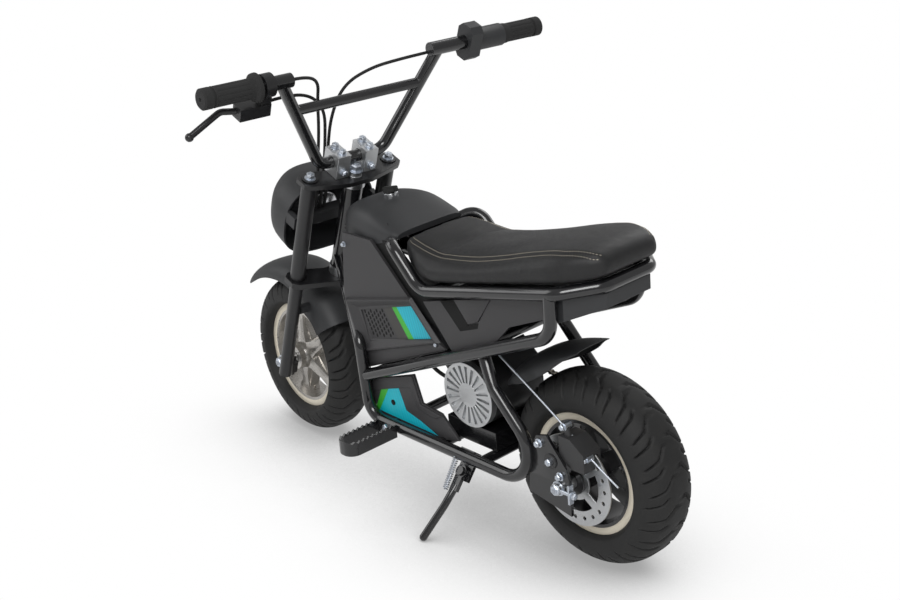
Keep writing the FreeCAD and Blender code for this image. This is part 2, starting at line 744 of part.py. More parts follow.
head_low = on_steering_axis(d.head_tube_low)
head_high = on_steering_axis(d.head_tube_high)
HEAD_CENTRE = FORK_STRAIGHT * Placement(Vector(stem_x, 0, d.head_tube_low), Rotation())
head_solid = rod("head_solid", head_low, head_high, d.head_tube_radius)
body = Body("head_tube")
ring = body.sketch("XY_Plane", circles=[(0, 0, d.head_tube_radius),
                                        (0, 0, d.stem_radius + d.bearing_gap)])
body.pad(ring, d.head_tube_high - d.head_tube_low)
sub_part(body.body, "head_tube", HEAD_CENTRE)

backbone_front = on_steering_axis(head_side(d.backbone_front_z))
backbone_rear = (d.seat_cross_x, 0, loop_height(d.seat_cross_x))
backbone = rod("backbone", backbone_front, backbone_rear, d.backbone_radius)
seat_cross = cross_bar("seat_cross", d.seat_cross_x, loop_height(d.seat_cross_x), d.frame_half,
                       d.cross_radius)
sub_part(cut("backbone_coped", backbone, [head_solid, seat_cross]), "backbone_tube", UPRIGHT)

sides = {1: "left", -1: "right"}
side_bars, rail_rods, bottom_rods, down_rods, loop_rods = {}, {}, {}, {}, {}
for side, hand in sides.items():
    side_bars[side] = bar(f"side_bar_{hand}", side_route(side), d.tube_radius)
    rail_rods[side] = side_rod(f"rail_rod_{hand}", d.rail_front_x, rail_height(d.rail_front_x),
                               d.rail_rear_x, rail_height(d.rail_rear_x), side, d.tube_radius)
    bottom_rods[side] = side_rod(f"bottom_rod_{hand}", d.front_corner_x, d.bottom_rail_z,
                                 d.stay_bend_x, d.bottom_rail_z, side, d.tube_radius)
    down_rods[side] = side_rod(f"down_rod_{hand}", d.down_tube_x, d.down_tube_z,
                               d.front_corner_x, d.bottom_rail_z, side, d.tube_radius)
    loop_rods[side] = side_rod(f"loop_rod_{hand}", d.loop_front_x, d.loop_front_z,
                               d.loop_side_x, d.loop_side_z, side, d.tube_radius)
    rail_bar = bar(f"rail_bar_{hand}", rail_route(side), d.tube_radius)
    stay_tool = side_rod(f"stay_tool_{hand}", d.rear_cross_x, rail_height(d.rear_cross_x),
                         d.stay_bend_x, rail_height(d.stay_bend_x), side, d.tube_radius)
    sub_part(cut(f"side_coped_{hand}", side_bars[side], [head_solid, stay_tool]),
             f"side_tube_{hand}", UPRIGHT)
    sub_part(cut(f"rail_coped_{hand}", rail_bar, [down_rods[side], loop_rods[side]]),
             f"mid_rail_{hand}", UPRIGHT)
loop_bar = bar("loop_bar", LOOP_ROUTE, d.tube_radius)
sub_part(cut("loop_coped", loop_bar, [backbone]), "seat_loop", UPRIGHT)

CROSS_TUBES = {
    "rear": (d.rear_cross_x, rail_height(d.rear_cross_x)),
    "middle": (d.middle_cross_x, rail_height(d.middle_cross_x)),
    "front": (d.front_cross_x, rail_height(d.front_cross_x)),
    "peg": (d.peg_x, d.bottom_rail_z),
    "cradle_front": (d.cradle_front_x, d.bottom_rail_z),
    "cradle_rear": (d.cradle_rear_x, d.bottom_rail_z),
}
cross_bars = {name: cross_bar(f"{name}_cross", x, z, d.frame_half, d.cross_radius)
              for name, (x, z) in CROSS_TUBES.items()}
cross_bars["seat"] = seat_cross
all_cross = gathered("all_cross", list(cross_bars.values()))
sub_part(cut("cross_coped", all_cross, [*rail_rods.values(), *bottom_rods.values(),
                                        *loop_rods.values()]), "cross_tubes", UPRIGHT)

# Motor, battery and drive

cradle_low = d.bottom_rail_z + d.cross_radius + d.fit
cradle_top = d.motor_z - d.motor_radius - d.fit
cradle = part_object("Box", "cradle", Length=d.cradle_length, Width=d.cradle_width,
                     Height=cradle_top - cradle_low)
cradle_middle = (d.cradle_front_x + d.cradle_rear_x) / 2
sub_part(cradle, "motor_cradle",
         Placement(Vector(cradle_middle - d.cradle_length / 2, -d.cradle_width / 2, cradle_low),
                   Rotation()))

MOTOR = Placement(Vector(d.motor_x, 0, d.motor_z), Rotation())
body = Body("motor")
can = body.sketch("XZ_Plane", circles=[(0, 0, d.motor_radius)], offset=-d.motor_left)
body.pad(can, d.motor_left - d.motor_right)
shaft_end = d.chain_offset + d.chain_width
shaft = body.sketch("XZ_Plane", circles=[(0, 0, d.motor_shaft)], offset=-d.motor_right)
body.pad(shaft, d.motor_right + shaft_end)
sub_part(body.body, "motor", MOTOR)

body = Body("motor_cover")
cover_face = d.motor_left + d.cover_height
plate = body.sketch("XZ_Plane", circles=[(0, 0, d.motor_radius)], offset=-cover_face)
body.pad(plate, d.cover_height)
slot_end, slot_start = d.motor_radius - d.cover_rim, d.cover_boss + d.cover_rim
half = d.slot_width / 2
slot = body.sketch("XZ_Plane", [[(slot_start, -half), (slot_end, -half * 2), (slot_end, half * 2),
                                 (slot_start, half)]], offset=-cover_face)
slot = body.pocket(slot, d.slot_depth, reverse=True)
body.polar([slot], d.cover_slots)
sub_part(body.body, "motor_cover", MOTOR)

rail_angle = math.degrees(math.atan(d.rail_slope))
rail_back = Vector(-1, 0, d.rail_slope).normalize()
rail_up = Vector(d.rail_slope, 0, 1).normalize()
battery_foot = Vector(d.front_cross_x + d.cross_radius, 0, rail_height(d.front_cross_x + d.cross_radius))
battery_foot += rail_up * (d.cross_radius + d.fit)
BATTERY = Placement(battery_foot - Vector(0, d.battery_width / 2, 0),
                    Rotation(Vector(0, 1, 0), rail_angle)) \
    * Placement(Vector(-d.battery_length, 0, 0), Rotation())
battery = part_object("Box", "battery", Length=d.battery_length, Width=d.battery_width,
                      Height=d.battery_height)
sub_part(battery, "battery_block", BATTERY)


def belt_loop(first, second, first_radius, second_radius):
    """A closed loop round two circles, given their centres in the xz plane."""
    gap = Vector(second[0] - first[0], 0, second[1] - first[1])
    lean = math.acos((first_radius - second_radius) / gap.Length)
    base = math.atan2(gap.z, gap.x)
    corners = []
    for centre, radius in ((first, first_radius), (second, second_radius)):
        for turn in (base + lean, base - lean):
            corners.append(Vector(centre[0] + radius * math.cos(turn), 0,
                                  centre[1] + radius * math.sin(turn)))
    up_first, low_first, up_second, low_second = corners
    far_first = Vector(first[0], 0, first[1]) - gap / gap.Length * first_radius
    far_second = Vector(second[0], 0, second[1]) + gap / gap.Length * second_radius
    return Part.Wire([
        Part.LineSegment(up_first, up_second).toShape(),
        Part.Arc(up_second, far_second, low_second).toShape(),
        Part.LineSegment(low_second, low_first).toShape(),
        Part.Arc(low_first, far_first, up_first).toShape(),
    ])


def belt(name, half_depth, right, left):
    """A band round the two sprockets, between two distances from the middle plane."""
    centres = ((0.0, float(d.rear_tyre_radius)), (float(d.motor_x), float(d.motor_z)))
    outer = belt_loop(*centres, d.chain_ring + half_depth, d.pinion_ring + half_depth)
    inner = belt_loop(*centres, d.chain_ring - half_depth, d.pinion_ring - half_depth)
    band = Part.Face(outer).cut(Part.Face(inner))
    band.translate(Vector(0, right, 0))
    return shape_object(name, band.extrude(Vector(0, left - right, 0)))


rollers = belt("chain_rollers", d.roller_band, -d.chain_offset - d.roller_width / 2,
               -d.chain_offset + d.roller_width / 2)
plate_right = belt("chain_plate_right", d.chain_half_depth, -d.chain_offset - d.chain_width / 2,
                   -d.chain_offset - d.roller_width / 2)
plate_left = belt("chain_plate_left", d.chain_half_depth, -d.chain_offset + d.roller_width / 2,
                  -d.chain_offset + d.chain_width / 2)
sub_part(fused("chain", [rollers, plate_right, plate_left]), "drive_chain", UPRIGHT)

body = Body("motor_sprocket")
pinion_tip = d.pinion_ring - d.roller_band - d.chain_gap
disc = body.sketch("XZ_Plane", circles=[(0, 0, pinion_tip), (0, 0, d.motor_shaft + d.bearing_gap)],
                   offset=d.chain_offset - d.sprocket_thickness / 2)
body.pad(disc, d.sprocket_thickness)
sub_part(body.body, "motor_sprocket", MOTOR)

# Side covers

edge = d.panel_edge
UPPER_PANEL = [
    (448, 429), (381, 430), (300, 353), (243, 300), (229, rail_height(229) + edge),
    (414, rail_height(414) + edge), (430, 235), (460, 320),
]
UPPER_RECESS = [(421, 307), (294, 346), (254, 302), (406, 259)]
LOWER_PANEL = [
    (413, rail_height(413) - edge), (309, 228), (294, 184), (251, 179), (214, 145), (264, 133),
    (397, 136), (416, 160),
]
REAR_PANEL = [
    (270, 358), (232, 369), (120, 399), (15, 424), (19, 394), (89, 364), (114, 338),
    (135, rail_height(135) + d.panel_tuck), (212, rail_height(212) + d.panel_tuck),
]
REAR_RECESS = [(206, 376), (124, 397), (156, 349), (178, 344)]
LOWER_HOLE = (360, 166, 5)


def side_cover(label, side, outline, recesses=(), holes=()):
    """A flat side cover with sunk areas, its outer face just inside the tubes."""
    body = Body(label + "_body")
    face = side * (d.frame_half - d.tube_radius - d.fit)
    blank = body.sketch("XZ_Plane", [outline], offset=-face)
    body.pad(blank, d.panel_wall + d.panel_relief, reverse=side < 0)
    for recess in recesses:
        sunk = body.sketch("XZ_Plane", [recess], offset=-face)
        body.pocket(sunk, d.panel_relief, reverse=side > 0)
    if holes:
        body.pocket(body.sketch("XZ_Plane", circles=holes, offset=-face))
    return body.body


cross_tools = gathered("cross_tools", [
    cross_bar(f"{name}_cross_room", x, z, d.frame_half, d.cross_radius + d.fit)
    for name, (x, z) in CROSS_TUBES.items()])
for side, hand in sides.items():
    panel = side_cover(f"side_panel_{hand}", side, UPPER_PANEL, [UPPER_RECESS])
    tube_room = bar(f"side_room_{hand}", side_route(side), d.tube_radius + d.fit)
    sub_part(cut(f"side_panel_{hand}_cut", panel, [tube_room, cross_tools]), f"side_panel_{hand}", UPRIGHT)
    panel = side_cover(f"lower_panel_{hand}", side, LOWER_PANEL, holes=[LOWER_HOLE])
    sub_part(cut(f"lower_panel_{hand}_cut", panel, [cross_tools]), f"lower_panel_{hand}", UPRIGHT)
    panel = side_cover(f"rear_panel_{hand}", side, REAR_PANEL, [REAR_RECESS])
    sub_part(cut(f"rear_panel_{hand}_cut", panel, [cross_tools]), f"rear_panel_{hand}", UPRIGHT)

# Tank cover, seat and tail

TANK_SECTIONS = (
    # x, half width, bottom, top
    (494, 30, 414, 437),
    (484, 44, 413, 452),
    (455, 62, 414, 468),
    (400, 73, 417, 472),
    (352, 71, 431, 455),
    (334, 64, 437, 446),
)
SEAT_SECTIONS = (
    # x, bottom, top, half width below, half width above
    (322, 437, 448, 70, 62),
    (300, 412, 447, 79, 68),
    (255, 396, 441, 92, 70),
    (228, 397.6, 440, 94, 70),
    (100, 426.5, 470, 94, 72),
    (-15, 452, 502, 92, 74),
    (-55, 461, 504, 62, 56),
    (-76, 470, 492, 50, 44),
)


def mirrored(points):
    """Points of one side and their mirror images, as one closed outline."""
    return points + [(x, -y, z) for x, y, z in reversed(points)]


def dome(x, half, low, high):
    """A section of the tank cover: upright edge, round shoulder, flat top."""
    rise = high - low
    return mirrored([(x, half, low), (x, half, low + 0.42 * rise), (x, 0.95 * half, low + 0.68 * rise),
                     (x, 0.82 * half, low + 0.87 * rise), (x, 0.62 * half, low + 0.97 * rise),
                     (x, 0.4 * half, high)])


def cushion(x, low, high, below, above):
    """A section of the seat: upright edge and crowned top."""
    rise = high - low
    return mirrored([(x, below, low), (x, below, low + 0.35 * rise),
                     (x, above + 0.45 * (below - above), low + 0.8 * rise), (x, 0.75 * above, high)])


tank_outer = lofted("tank_outer", [dome(*row) for row in TANK_SECTIONS])
wall = d.panel_wall
inner_rows = [(x, half - wall, low - wall, high - wall) for x, half, low, high in TANK_SECTIONS]
first, last = inner_rows[0], inner_rows[-1]
inner_rows[0] = (first[0] - wall, *first[1:])
inner_rows[-1] = (last[0] + wall, *last[1:])
tank_inner = lofted("tank_inner", [dome(*row) for row in inner_rows])
loop_room = bar("loop_room", LOOP_ROUTE, d.tube_radius + d.fit)
port_point = Vector(d.port_x, d.port_y, d.port_z)
port_way = Vector(0, 1, 1).normalize()
port_room = rod("port_room", port_point - port_way * d.port_depth, port_point + port_way * d.port_depth,
                d.port_radius)
backbone_room = rod("backbone_room", backbone_front, backbone_rear, d.backbone_radius + d.fit)
sub_part(cut("tank", tank_outer, [tank_inner, loop_room, port_room, backbone_room]), "tank_cover", UPRIGHT)
body = Body("key_switch")
lock = body.sketch("XY_Plane", circles=[(0, 0, d.key_radius)])
body.pad(lock, d.key_height)
blade = body.sketch("XY_Plane", [[(-d.key_radius / 2, -1), (d.key_radius / 2, -1),
                                  (d.key_radius / 2, 1), (-d.key_radius / 2, 1)]],
                    offset=d.key_height)
body.pad(blade, d.key_height)
front_row, rear_row = TANK_SECTIONS[2], TANK_SECTIONS[3]
key_fall = (rear_row[3] - front_row[3]) / (front_row[0] - rear_row[0])
key_top = rear_row[3] - key_fall * (d.key_x - rear_row[0])
KEY = Placement(Vector(d.key_x, 0, key_top + d.fit / 2),
                Rotation(Vector(0, 1, 0), math.degrees(math.atan(key_fall))))
sub_part(body.body, "key_switch", KEY)

seat_solid = lofted("seat_solid", [cushion(*row) for row in SEAT_SECTIONS])
cross_room = cross_bar("seat_cross_room", d.seat_cross_x, loop_height(d.seat_cross_x),
                       d.frame_half + d.tube_radius, d.cross_radius + d.fit)
sub_part(cut("seat_cut", seat_solid, [loop_room, backbone_room, cross_room]), "seat", UPRIGHT)

tray_top = d.tube_radius + d.fit
body = Body("tail_tray")
plan = body.sketch("XY_Plane", [[(10, 80), (-18, 80), (-64, 44), (-64, -44), (-18, -80), (10, -80)]],
                   offset=388)
body.pad(plan, 60)
side_view = body.sketch("XZ_Plane", [[
    (11, loop_height(11) - tray_top), (11, 460), (-66, 460), (-66, d.loop_rear_z - tray_top),
    (d.loop_side_x, loop_height(d.loop_side_x) - tray_top)]])
body.pocket(side_view)
under_side = body.sketch("XZ_Plane", [[(11, 388), (-66, 420), (-66, 387), (11, 387)]])
body.pocket(under_side)
sub_part(body.body, "tail_tray", UPRIGHT)

# Rear fender, dropouts and brake

body = Body("rear_fender_skin")
crown, wall = d.rear_fender_radius, d.fender_wall
skin = body.sketch("XY_Plane", [[
    (crown, 20), (crown - 6, 40), (152, d.rear_fender_half), (152, d.rear_fender_half - wall),
    (crown - 6 - wall, 38), (crown - wall, 19), (crown - wall, -19), (crown - 6 - wall, -38),
    (152, wall - d.rear_fender_half), (152, -d.rear_fender_half), (crown - 6, -40), (crown, -20),
]])
body.spin(skin, angle=d.rear_fender_sweep)
skin = body.body
skin.Placement = Placement(Vector(), Rotation(Vector(0, 1, 0), -d.rear_fender_tip))
tongue_angle = math.degrees(math.atan2(rail_height(d.rear_cross_x) - d.rear_tyre_radius, d.rear_cross_x))
tongue_reach = math.hypot(rail_height(d.rear_cross_x) - d.rear_tyre_radius, d.rear_cross_x)
tongue = part_object("Box", "tongue", Height=d.fender_wall, Width=d.tongue_width)
bind(tongue, Length=tongue_reach - d.cross_radius - d.fit - crown + d.weld)
tongue.Placement = Placement(Vector(), Rotation(Vector(0, 1, 0), -tongue_angle)) \
    * Placement(Vector(crown - d.weld, -d.tongue_width / 2, -d.fender_wall / 2), Rotation())
sub_part(fused("rear_fender_fused", [skin, tongue]), "rear_fender", REAR_AXLE)

DROPOUT = [(60, 122), (-22, 108), (-22, 139), (8, 139), (8, 153), (-22, 153), (-16, 180),
           (20, 222), (40, 216), (52, 190)]
for side, hand in sides.items():
    body = Body(f"dropout_plate_{hand}")
    face = side * (d.dropout_inner + d.dropout_wall)
    plate = body.sketch("XZ_Plane", [DROPOUT], offset=-face)
    body.pad(plate, d.dropout_wall, reverse=side < 0)
    sub_part(cut(f"dropout_cut_{hand}", body.body, [side_bars[side]]), f"dropout_{hand}", UPRIGHT)

BRAKE_ROUTE = [
    (150, 68.7, 322), (-1, 70, 236, 60), (-40, 70, 201, 50), (-95, 70, 172),
]
sub_part(bar("brake_cable_bar", BRAKE_ROUTE, d.brake_wire), "brake_cable", UPRIGHT)
wire_room = bar("brake_wire_room", BRAKE_ROUTE, d.brake_wire + d.fit)
body = Body("caliper_block")
caliper_face = d.dropout_inner - d.fit
block = body.sketch("XZ_Plane", [[(-45, 180), (1, 180), (1, 226), (-20, 226), (-45, 208)]],
                    offset=-caliper_face)
body.pad(block, caliper_face - d.caliper_inner)
half = d.rotor_thickness / 2 + d.pad_gap
axle_height = d.rear_tyre_radius
rotor_room = rod("rotor_room", (0, d.rotor_offset - half, axle_height), (0, d.rotor_offset + half, axle_height),
                 d.rotor_radius + d.pad_gap)
sub_part(cut("caliper_cut", body.body, [wire_room, rotor_room]), "brake_caliper", UPRIGHT)

# Foot pegs and side stand

for side, hand in sides.items():
    body = Body(f"foot_peg_{hand}")
    start = d.frame_half + d.tube_radius + d.fit
    end = start + d.peg_reach
    half, strip = d.peg_width / 2, d.peg_strip
    bend = d.peg_bend
    outer = [(-half, start), (half, start), (half, end), (-half, end)]
    inner = [(strip - half, start + strip), (half - strip, start + strip),
             (half - strip, end - strip), (strip - half, end - strip)]
    outline = body.sketch("XY_Plane", [[(u, v * side) for u, v in loop] for loop in (outer, inner)])
    body.pad(outline, d.peg_height, "Symmetric")

    def outer_corner(edge, reach=end, far=half):
        ends = [vertex.Point for vertex in edge.Vertexes]
        if abs(ends[0].z - ends[-1].z) < LIMIT:
            return False
        return all(abs(abs(p.y) - reach) < LIMIT and abs(abs(p.x) - far) < LIMIT for p in ends)

    def inner_corner(edge, reach=end - strip, far=half - strip):
        return outer_corner(edge, reach, far)

    body.rounded(outer_corner, bend)
    body.rounded(inner_corner, bend - strip)
    count = int((end - start) // d.tooth_pitch)
    top = float(d.peg_height) / 2
    teeth = [(side * (start - 1), top + 1), (side * (start - 1), top - 0.5)]
    for number in range(count):
        teeth.append((side * (start + d.tooth_pitch * (number + 0.5)), top - 4))
        teeth.append((side * (start + d.tooth_pitch * (number + 1)), top - 0.5))
    teeth += [(side * (end + 1), top - 0.5), (side * (end + 1), top + 1)]
    body.pocket(body.sketch("YZ_Plane", [teeth]))
    sub_part(body.body, f"foot_peg_{hand}",
             Placement(Vector(d.peg_x, 0, d.bottom_rail_z), Rotation()))


def ground_height(x, y):
    """Height of the ground in the bike frame, below a point of the leaning bike."""
    lean = math.radians(d.lean_angle)

    def lowest(radius, width, crown):
        return min((radius - reach) * math.cos(lean) - along * math.sin(lean)
                   for reach, along in crown_rows(radius, width, crown))

    rear = lowest(d.rear_tyre_radius, d.rear_tyre_width, d.rear_tyre_crown)
    front = lowest(d.front_tyre_radius, d.front_tyre_width, d.front_tyre_crown)
    low = rear + (front - rear) * x / d.wheelbase
    return (low + y * math.sin(lean)) / math.cos(lean)


foot_z = ground_height(d.stand_foot_x, d.stand_foot_y) + d.stand_rod / math.cos(math.radians(d.lean_angle))
stand_drop = d.stand_z - foot_z
stand_spread = d.stand_foot_y - d.stand_y
stand_tilt = math.degrees(math.atan2(stand_spread, stand_drop))
STAND = Placement(Vector(d.stand_x, d.stand_y, d.stand_z), Rotation(Vector(1, 0, 0), stand_tilt))
leg_down = math.hypot(stand_spread, stand_drop)
leg_ahead = d.stand_foot_x - d.stand_x
leg_rod = bar("leg_rod", [(0, 0, -d.stand_neck), (leg_ahead / 2 - 4, 0, -leg_down / 2, 60),
                          (leg_ahead, 0, -leg_down)], d.stand_rod)
leg_foot = part_object("Sphere", "leg_foot", Radius=d.stand_rod)
leg_foot.Placement = Placement(Vector(leg_ahead, 0, -leg_down), Rotation())
eye_half = d.stand_plate / 2
leg_eye = rod("leg_eye", (0, -eye_half, 0), (0, eye_half, 0), d.stand_eye)
leg_bore = rod("leg_bore", (0, -d.stand_eye, 0), (0, d.stand_eye, 0), d.stand_pin + d.bearing_gap)
leg_tab = part_object("Box", "leg_tab", Length=2 * d.stand_pin + 6, Width=d.stand_plate,
                      Height=d.stand_neck + 10)
leg_tab.Placement = Placement(Vector(-d.stand_pin - 3, -eye_half, -d.stand_neck - 10), Rotation())
leg_whole = fused("leg_whole", [leg_rod, leg_foot, leg_eye, leg_tab])
sub_part(cut("leg_cut", leg_whole, [leg_bore]), "stand_leg", STAND)

plate_face = -eye_half - d.side_gap
plate_back = plate_face - d.stand_bracket
pin_head = eye_half + d.side_gap
plate = part_object("Box", "stand_plate", Length=28, Width=d.stand_bracket, Height=46)
plate.Placement = Placement(Vector(-14, plate_back, -12), Rotation())
block = part_object("Box", "stand_block", Length=28, Width=18, Height=19)
block.Placement = Placement(Vector(-14, plate_back, 15), Rotation())
pin = rod("stand_pin_shank", (0, plate_back, 0), (0, pin_head + 3, 0), d.stand_pin)
head = rod("stand_pin_head", (0, pin_head, 0), (0, pin_head + 3, 0), d.stand_pin + 3)
bracket = fused("stand_bracket_whole", [plate, block, pin, head])
low_rail = bottom_rods[1]
rail_tool = rod("stand_rail_tool", STAND.inverse().multVec(Vector(d.front_corner_x, d.frame_half, d.bottom_rail_z)),
                STAND.inverse().multVec(Vector(d.stay_bend_x, d.frame_half, d.bottom_rail_z)),
                d.tube_radius)
sub_part(cut("stand_bracket_cut", bracket, [rail_tool]), "stand_bracket", STAND)

LEAD_START = (d.motor_x + d.motor_radius + 0.2, 50, 225)
lead_corner = Vector(300, 50, 225)
lead_rise = (battery_foot - lead_corner).dot(rail_up)
lead_end = lead_corner + rail_up * (lead_rise - 0.2)
LEAD_ROUTE = [LEAD_START, (*lead_corner, 20), tuple(lead_end)]
sub_part(bar("motor_lead_bar", LEAD_ROUTE, d.lead_radius), "motor_lead", UPRIGHT)

# Steering

body = Body("steering_stem")
yoke_top = d.yoke_z + d.yoke_height
clamp_top = d.clamp_z + d.clamp_height
profile = [(0, yoke_top), (d.stem_cup_radius, yoke_top), (d.stem_cup_radius, d.head_tube_low - d.side_gap),
           (d.stem_radius, d.head_tube_low - d.side_gap), (d.stem_radius, clamp_top + d.fit),
           (d.stem_nut, clamp_top + d.fit), (d.stem_nut, clamp_top + d.nut_height),
           (0, clamp_top + d.nut_height)]
stem = body.sketch("XZ_Plane", [profile])
body.spin(stem)
cup = body.sketch("XY_Plane", circles=[(0, 0, d.stem_cup_radius)], offset=d.head_tube_high + d.side_gap)
body.pad(cup, d.clamp_z - d.head_tube_high - d.side_gap)
sub_part(body.body, "steering_stem", FORK * Placement(Vector(stem_x, 0, 0), Rotation()))

half = d.leg_half
leg_x = -d.axle_lead
YOKE = [(stem_x - 21, 22), (-44, half + 8), (-36, half + 17), (-14, half + 17), (-6, half + 8),
        (-6, half - 14), (-20, 22)]


def yoke_plate(label, low, height, stem_hole):
    """A plate joining the legs and the stem."""
    body = Body(label)
    outline = [(u, v) for u, v in YOKE] + [(u, -v) for u, v in reversed(YOKE)]
    plate = body.sketch("XY_Plane", [outline], offset=low)
    body.pad(plate, height)
    holes = [(leg_x, side * d.leg_half, d.leg_upper_radius + d.fit) for side in sides]
    if stem_hole:
        holes.append((stem_x, 0, d.stem_radius + d.fit))
    body.pocket(body.sketch("XY_Plane", circles=holes, offset=low))
    return sub_part(body.body, label, FORK)


yoke_plate("lower_yoke", d.yoke_z, d.yoke_height, False)
yoke_plate("top_clamp", d.clamp_z, d.clamp_height, True)
for side, hand in sides.items():
    body = Body(f"fork_leg_{hand}")
    low, upper = d.leg_lower_radius, d.leg_upper_radius
    leg = body.sketch("XZ_Plane", [[
        (0, -4), (low, -4), (low, d.yoke_z - 2), (upper, d.yoke_z - 2), (upper, clamp_top + 2),
        (0, clamp_top + 2)]])
    body.spin(leg)
    inner = d.leg_half - d.tab_inner
    tab = [(0, -14), (d.axle_lead, -d.tab_radius), (d.axle_lead + 9, -9), (d.axle_lead + 13, 0),
           (d.axle_lead + 9, 9), (d.axle_lead, d.tab_radius), (0, 26)]
    tab = body.sketch("XZ_Plane", [tab], offset=side * inner)
    body.pad(tab, d.tab_wall, reverse=side > 0)
    web = body.sketch("XZ_Plane", [[(-7, -3), (7, -3), (7, 20), (-7, 20)]], offset=side * inner)
    body.pad(web, inner, reverse=side > 0)
    body.pocket(body.sketch("XZ_Plane", circles=[(d.axle_lead, 0, d.axle_radius + d.bearing_gap)]))
    sub_part(body.body, f"fork_leg_{hand}", FORK * Placement(Vector(leg_x, side * half, 0), Rotation()))

riser_top = d.bar_z
RISER_ROUTE = [
    (d.bar_x, d.riser_half, riser_top), (d.riser_foot_x, d.riser_foot_half, d.riser_foot_z, 26),
    (d.riser_foot_x, -d.riser_foot_half, d.riser_foot_z, 26), (d.bar_x, -d.riser_half, riser_top),
]
brace_half = d.riser_half - (d.riser_half - d.riser_foot_half) * (d.bar_z - d.brace_z) / (d.bar_z - d.riser_foot_z)
brace_x = d.bar_x + (d.riser_foot_x - d.bar_x) * (d.bar_z - d.brace_z) / (d.bar_z - d.riser_foot_z)
handlebar = fused("handlebar_whole", [
    bar("risers", RISER_ROUTE, d.riser_radius),
    rod("left_stub", (d.bar_x, d.stub_inner, d.bar_z), (d.bar_x, d.left_bar, d.bar_z), d.bar_radius),
    rod("right_stub", (d.bar_x, -d.stub_inner, d.bar_z), (d.bar_x, -d.right_bar, d.bar_z), d.bar_radius),
    rod("brace", (brace_x, -brace_half, d.brace_z), (brace_x, brace_half, d.brace_z), d.brace_radius),
])
sub_part(handlebar, "handlebar", FORK)

blocks = []
for side, hand in sides.items():
    block = part_object("Box", f"clamp_block_{hand}", Length=d.bar_clamp_length,
                        Width=d.bar_clamp_width, Height=d.bar_clamp_top - clamp_top - d.fit)
    block.Placement = Placement(Vector(d.riser_foot_x - d.bar_clamp_length / 2,
                                       side * d.bar_clamp_half - d.bar_clamp_width / 2,
                                       clamp_top + d.fit), Rotation())
    blocks.append(block)
clamp_bore = rod("clamp_bore", (d.riser_foot_x, -60, d.riser_foot_z), (d.riser_foot_x, 60, d.riser_foot_z),
                 d.riser_radius + d.fit)
sub_part(cut("clamps_cut", gathered("clamp_blocks", blocks), [clamp_bore]), "bar_clamps", FORK)


def bar_sleeve(label, profile):
    """A sleeve on the handlebar; the profile's rows are (radius, distance from the middle)."""
    body = Body(label)
    body.spin(body.sketch("XY_Plane", [profile]))
    return sub_part(body.body, label, FORK * Placement(Vector(d.bar_x, 0, d.bar_z), Rotation()))


bore = d.bar_radius + d.fit
cap = d.left_bar + d.fit
bar_sleeve("grip_left", [
    (bore, d.grip_start), (d.grip_flange, d.grip_start), (d.grip_flange, d.grip_start + 6),
    (d.grip_radius, d.grip_start + 11), (d.grip_radius, cap + 5), (0, cap + 5), (0, cap), (bore, cap)])
case_end = -d.case_start - d.case_width
sleeve_end = case_end - d.sleeve_length
cap = -d.right_bar - d.fit
body = Body("throttle_case")
body.spin(body.sketch("XY_Plane", [[(bore, -d.case_start), (d.sleeve_radius, -d.case_start),
                                    (d.sleeve_radius, sleeve_end), (bore, sleeve_end)]]))
deep, tall, chamfer = d.case_depth / 2, d.case_radius, 9
case = body.sketch("XZ_Plane", [[
    (deep, chamfer - tall), (deep, tall - chamfer), (deep - chamfer, tall), (chamfer - deep, tall),
    (-deep, tall - chamfer), (-deep, chamfer - tall), (chamfer - deep, -tall), (deep - chamfer, -tall),
]], circles=[(0, 0, bore)], offset=d.case_start)
body.pad(case, d.case_width)
sub_part(body.body, "throttle_case", FORK * Placement(Vector(d.bar_x, 0, d.bar_z), Rotation()))
bar_sleeve("grip_right", [
    (bore, sleeve_end - d.fit), (d.twist_radius, sleeve_end - d.fit), (d.twist_radius, cap - 5),
    (0, cap - 5), (0, cap), (bore, cap)])

LEVER_ROUTE = [(-14, 205, 538), (-4, 236, 538, 16), (-4, 284, 506)]
ring = rod("lever_ring", (d.bar_x, d.lever_start, d.bar_z), (d.bar_x, d.lever_start + 17, d.bar_z), 18)
arm = part_object("Box", "lever_arm", Length=16, Width=17, Height=32)
arm.Placement = Placement(Vector(-26, d.lever_start, 534), Rotation())
house = part_object("Box", "lever_house", Length=22, Width=52, Height=20)
house.Placement = Placement(Vector(-27, d.lever_start, 528), Rotation())
lever = fused("lever_whole", [ring, arm, house, bar("lever_blade", LEVER_ROUTE, d.lever_radius),
                              ball("lever_tip", LEVER_ROUTE[-1], d.lever_radius + 1.5)])
lever_bore = rod("lever_bore", (d.bar_x, 100, d.bar_z), (d.bar_x, 250, d.bar_z), bore)
sub_part(cut("lever_cut", lever, [lever_bore]), "brake_lever", FORK)

# Headlight

HEADLIGHT_SECTIONS = (
    # depth, share of the width, share of the height
    (0.0, 1.0, 1.0),
    (0.5, 0.96, 0.95),
    (0.85, 0.80, 0.84),
    (1.0, 0.66, 0.78),
)
CORNER_TURNS = [math.radians(15 + 30 * number) for number in range(12)]


def oval(x, half_width, half_height):
    """A section of the headlight shell: a rounded shield."""
    return [(x, half_width * math.copysign(abs(math.cos(t)) ** 0.7, math.cos(t)),
             half_height * math.copysign(abs(math.sin(t)) ** 0.7, math.sin(t)))
            for t in CORNER_TURNS]


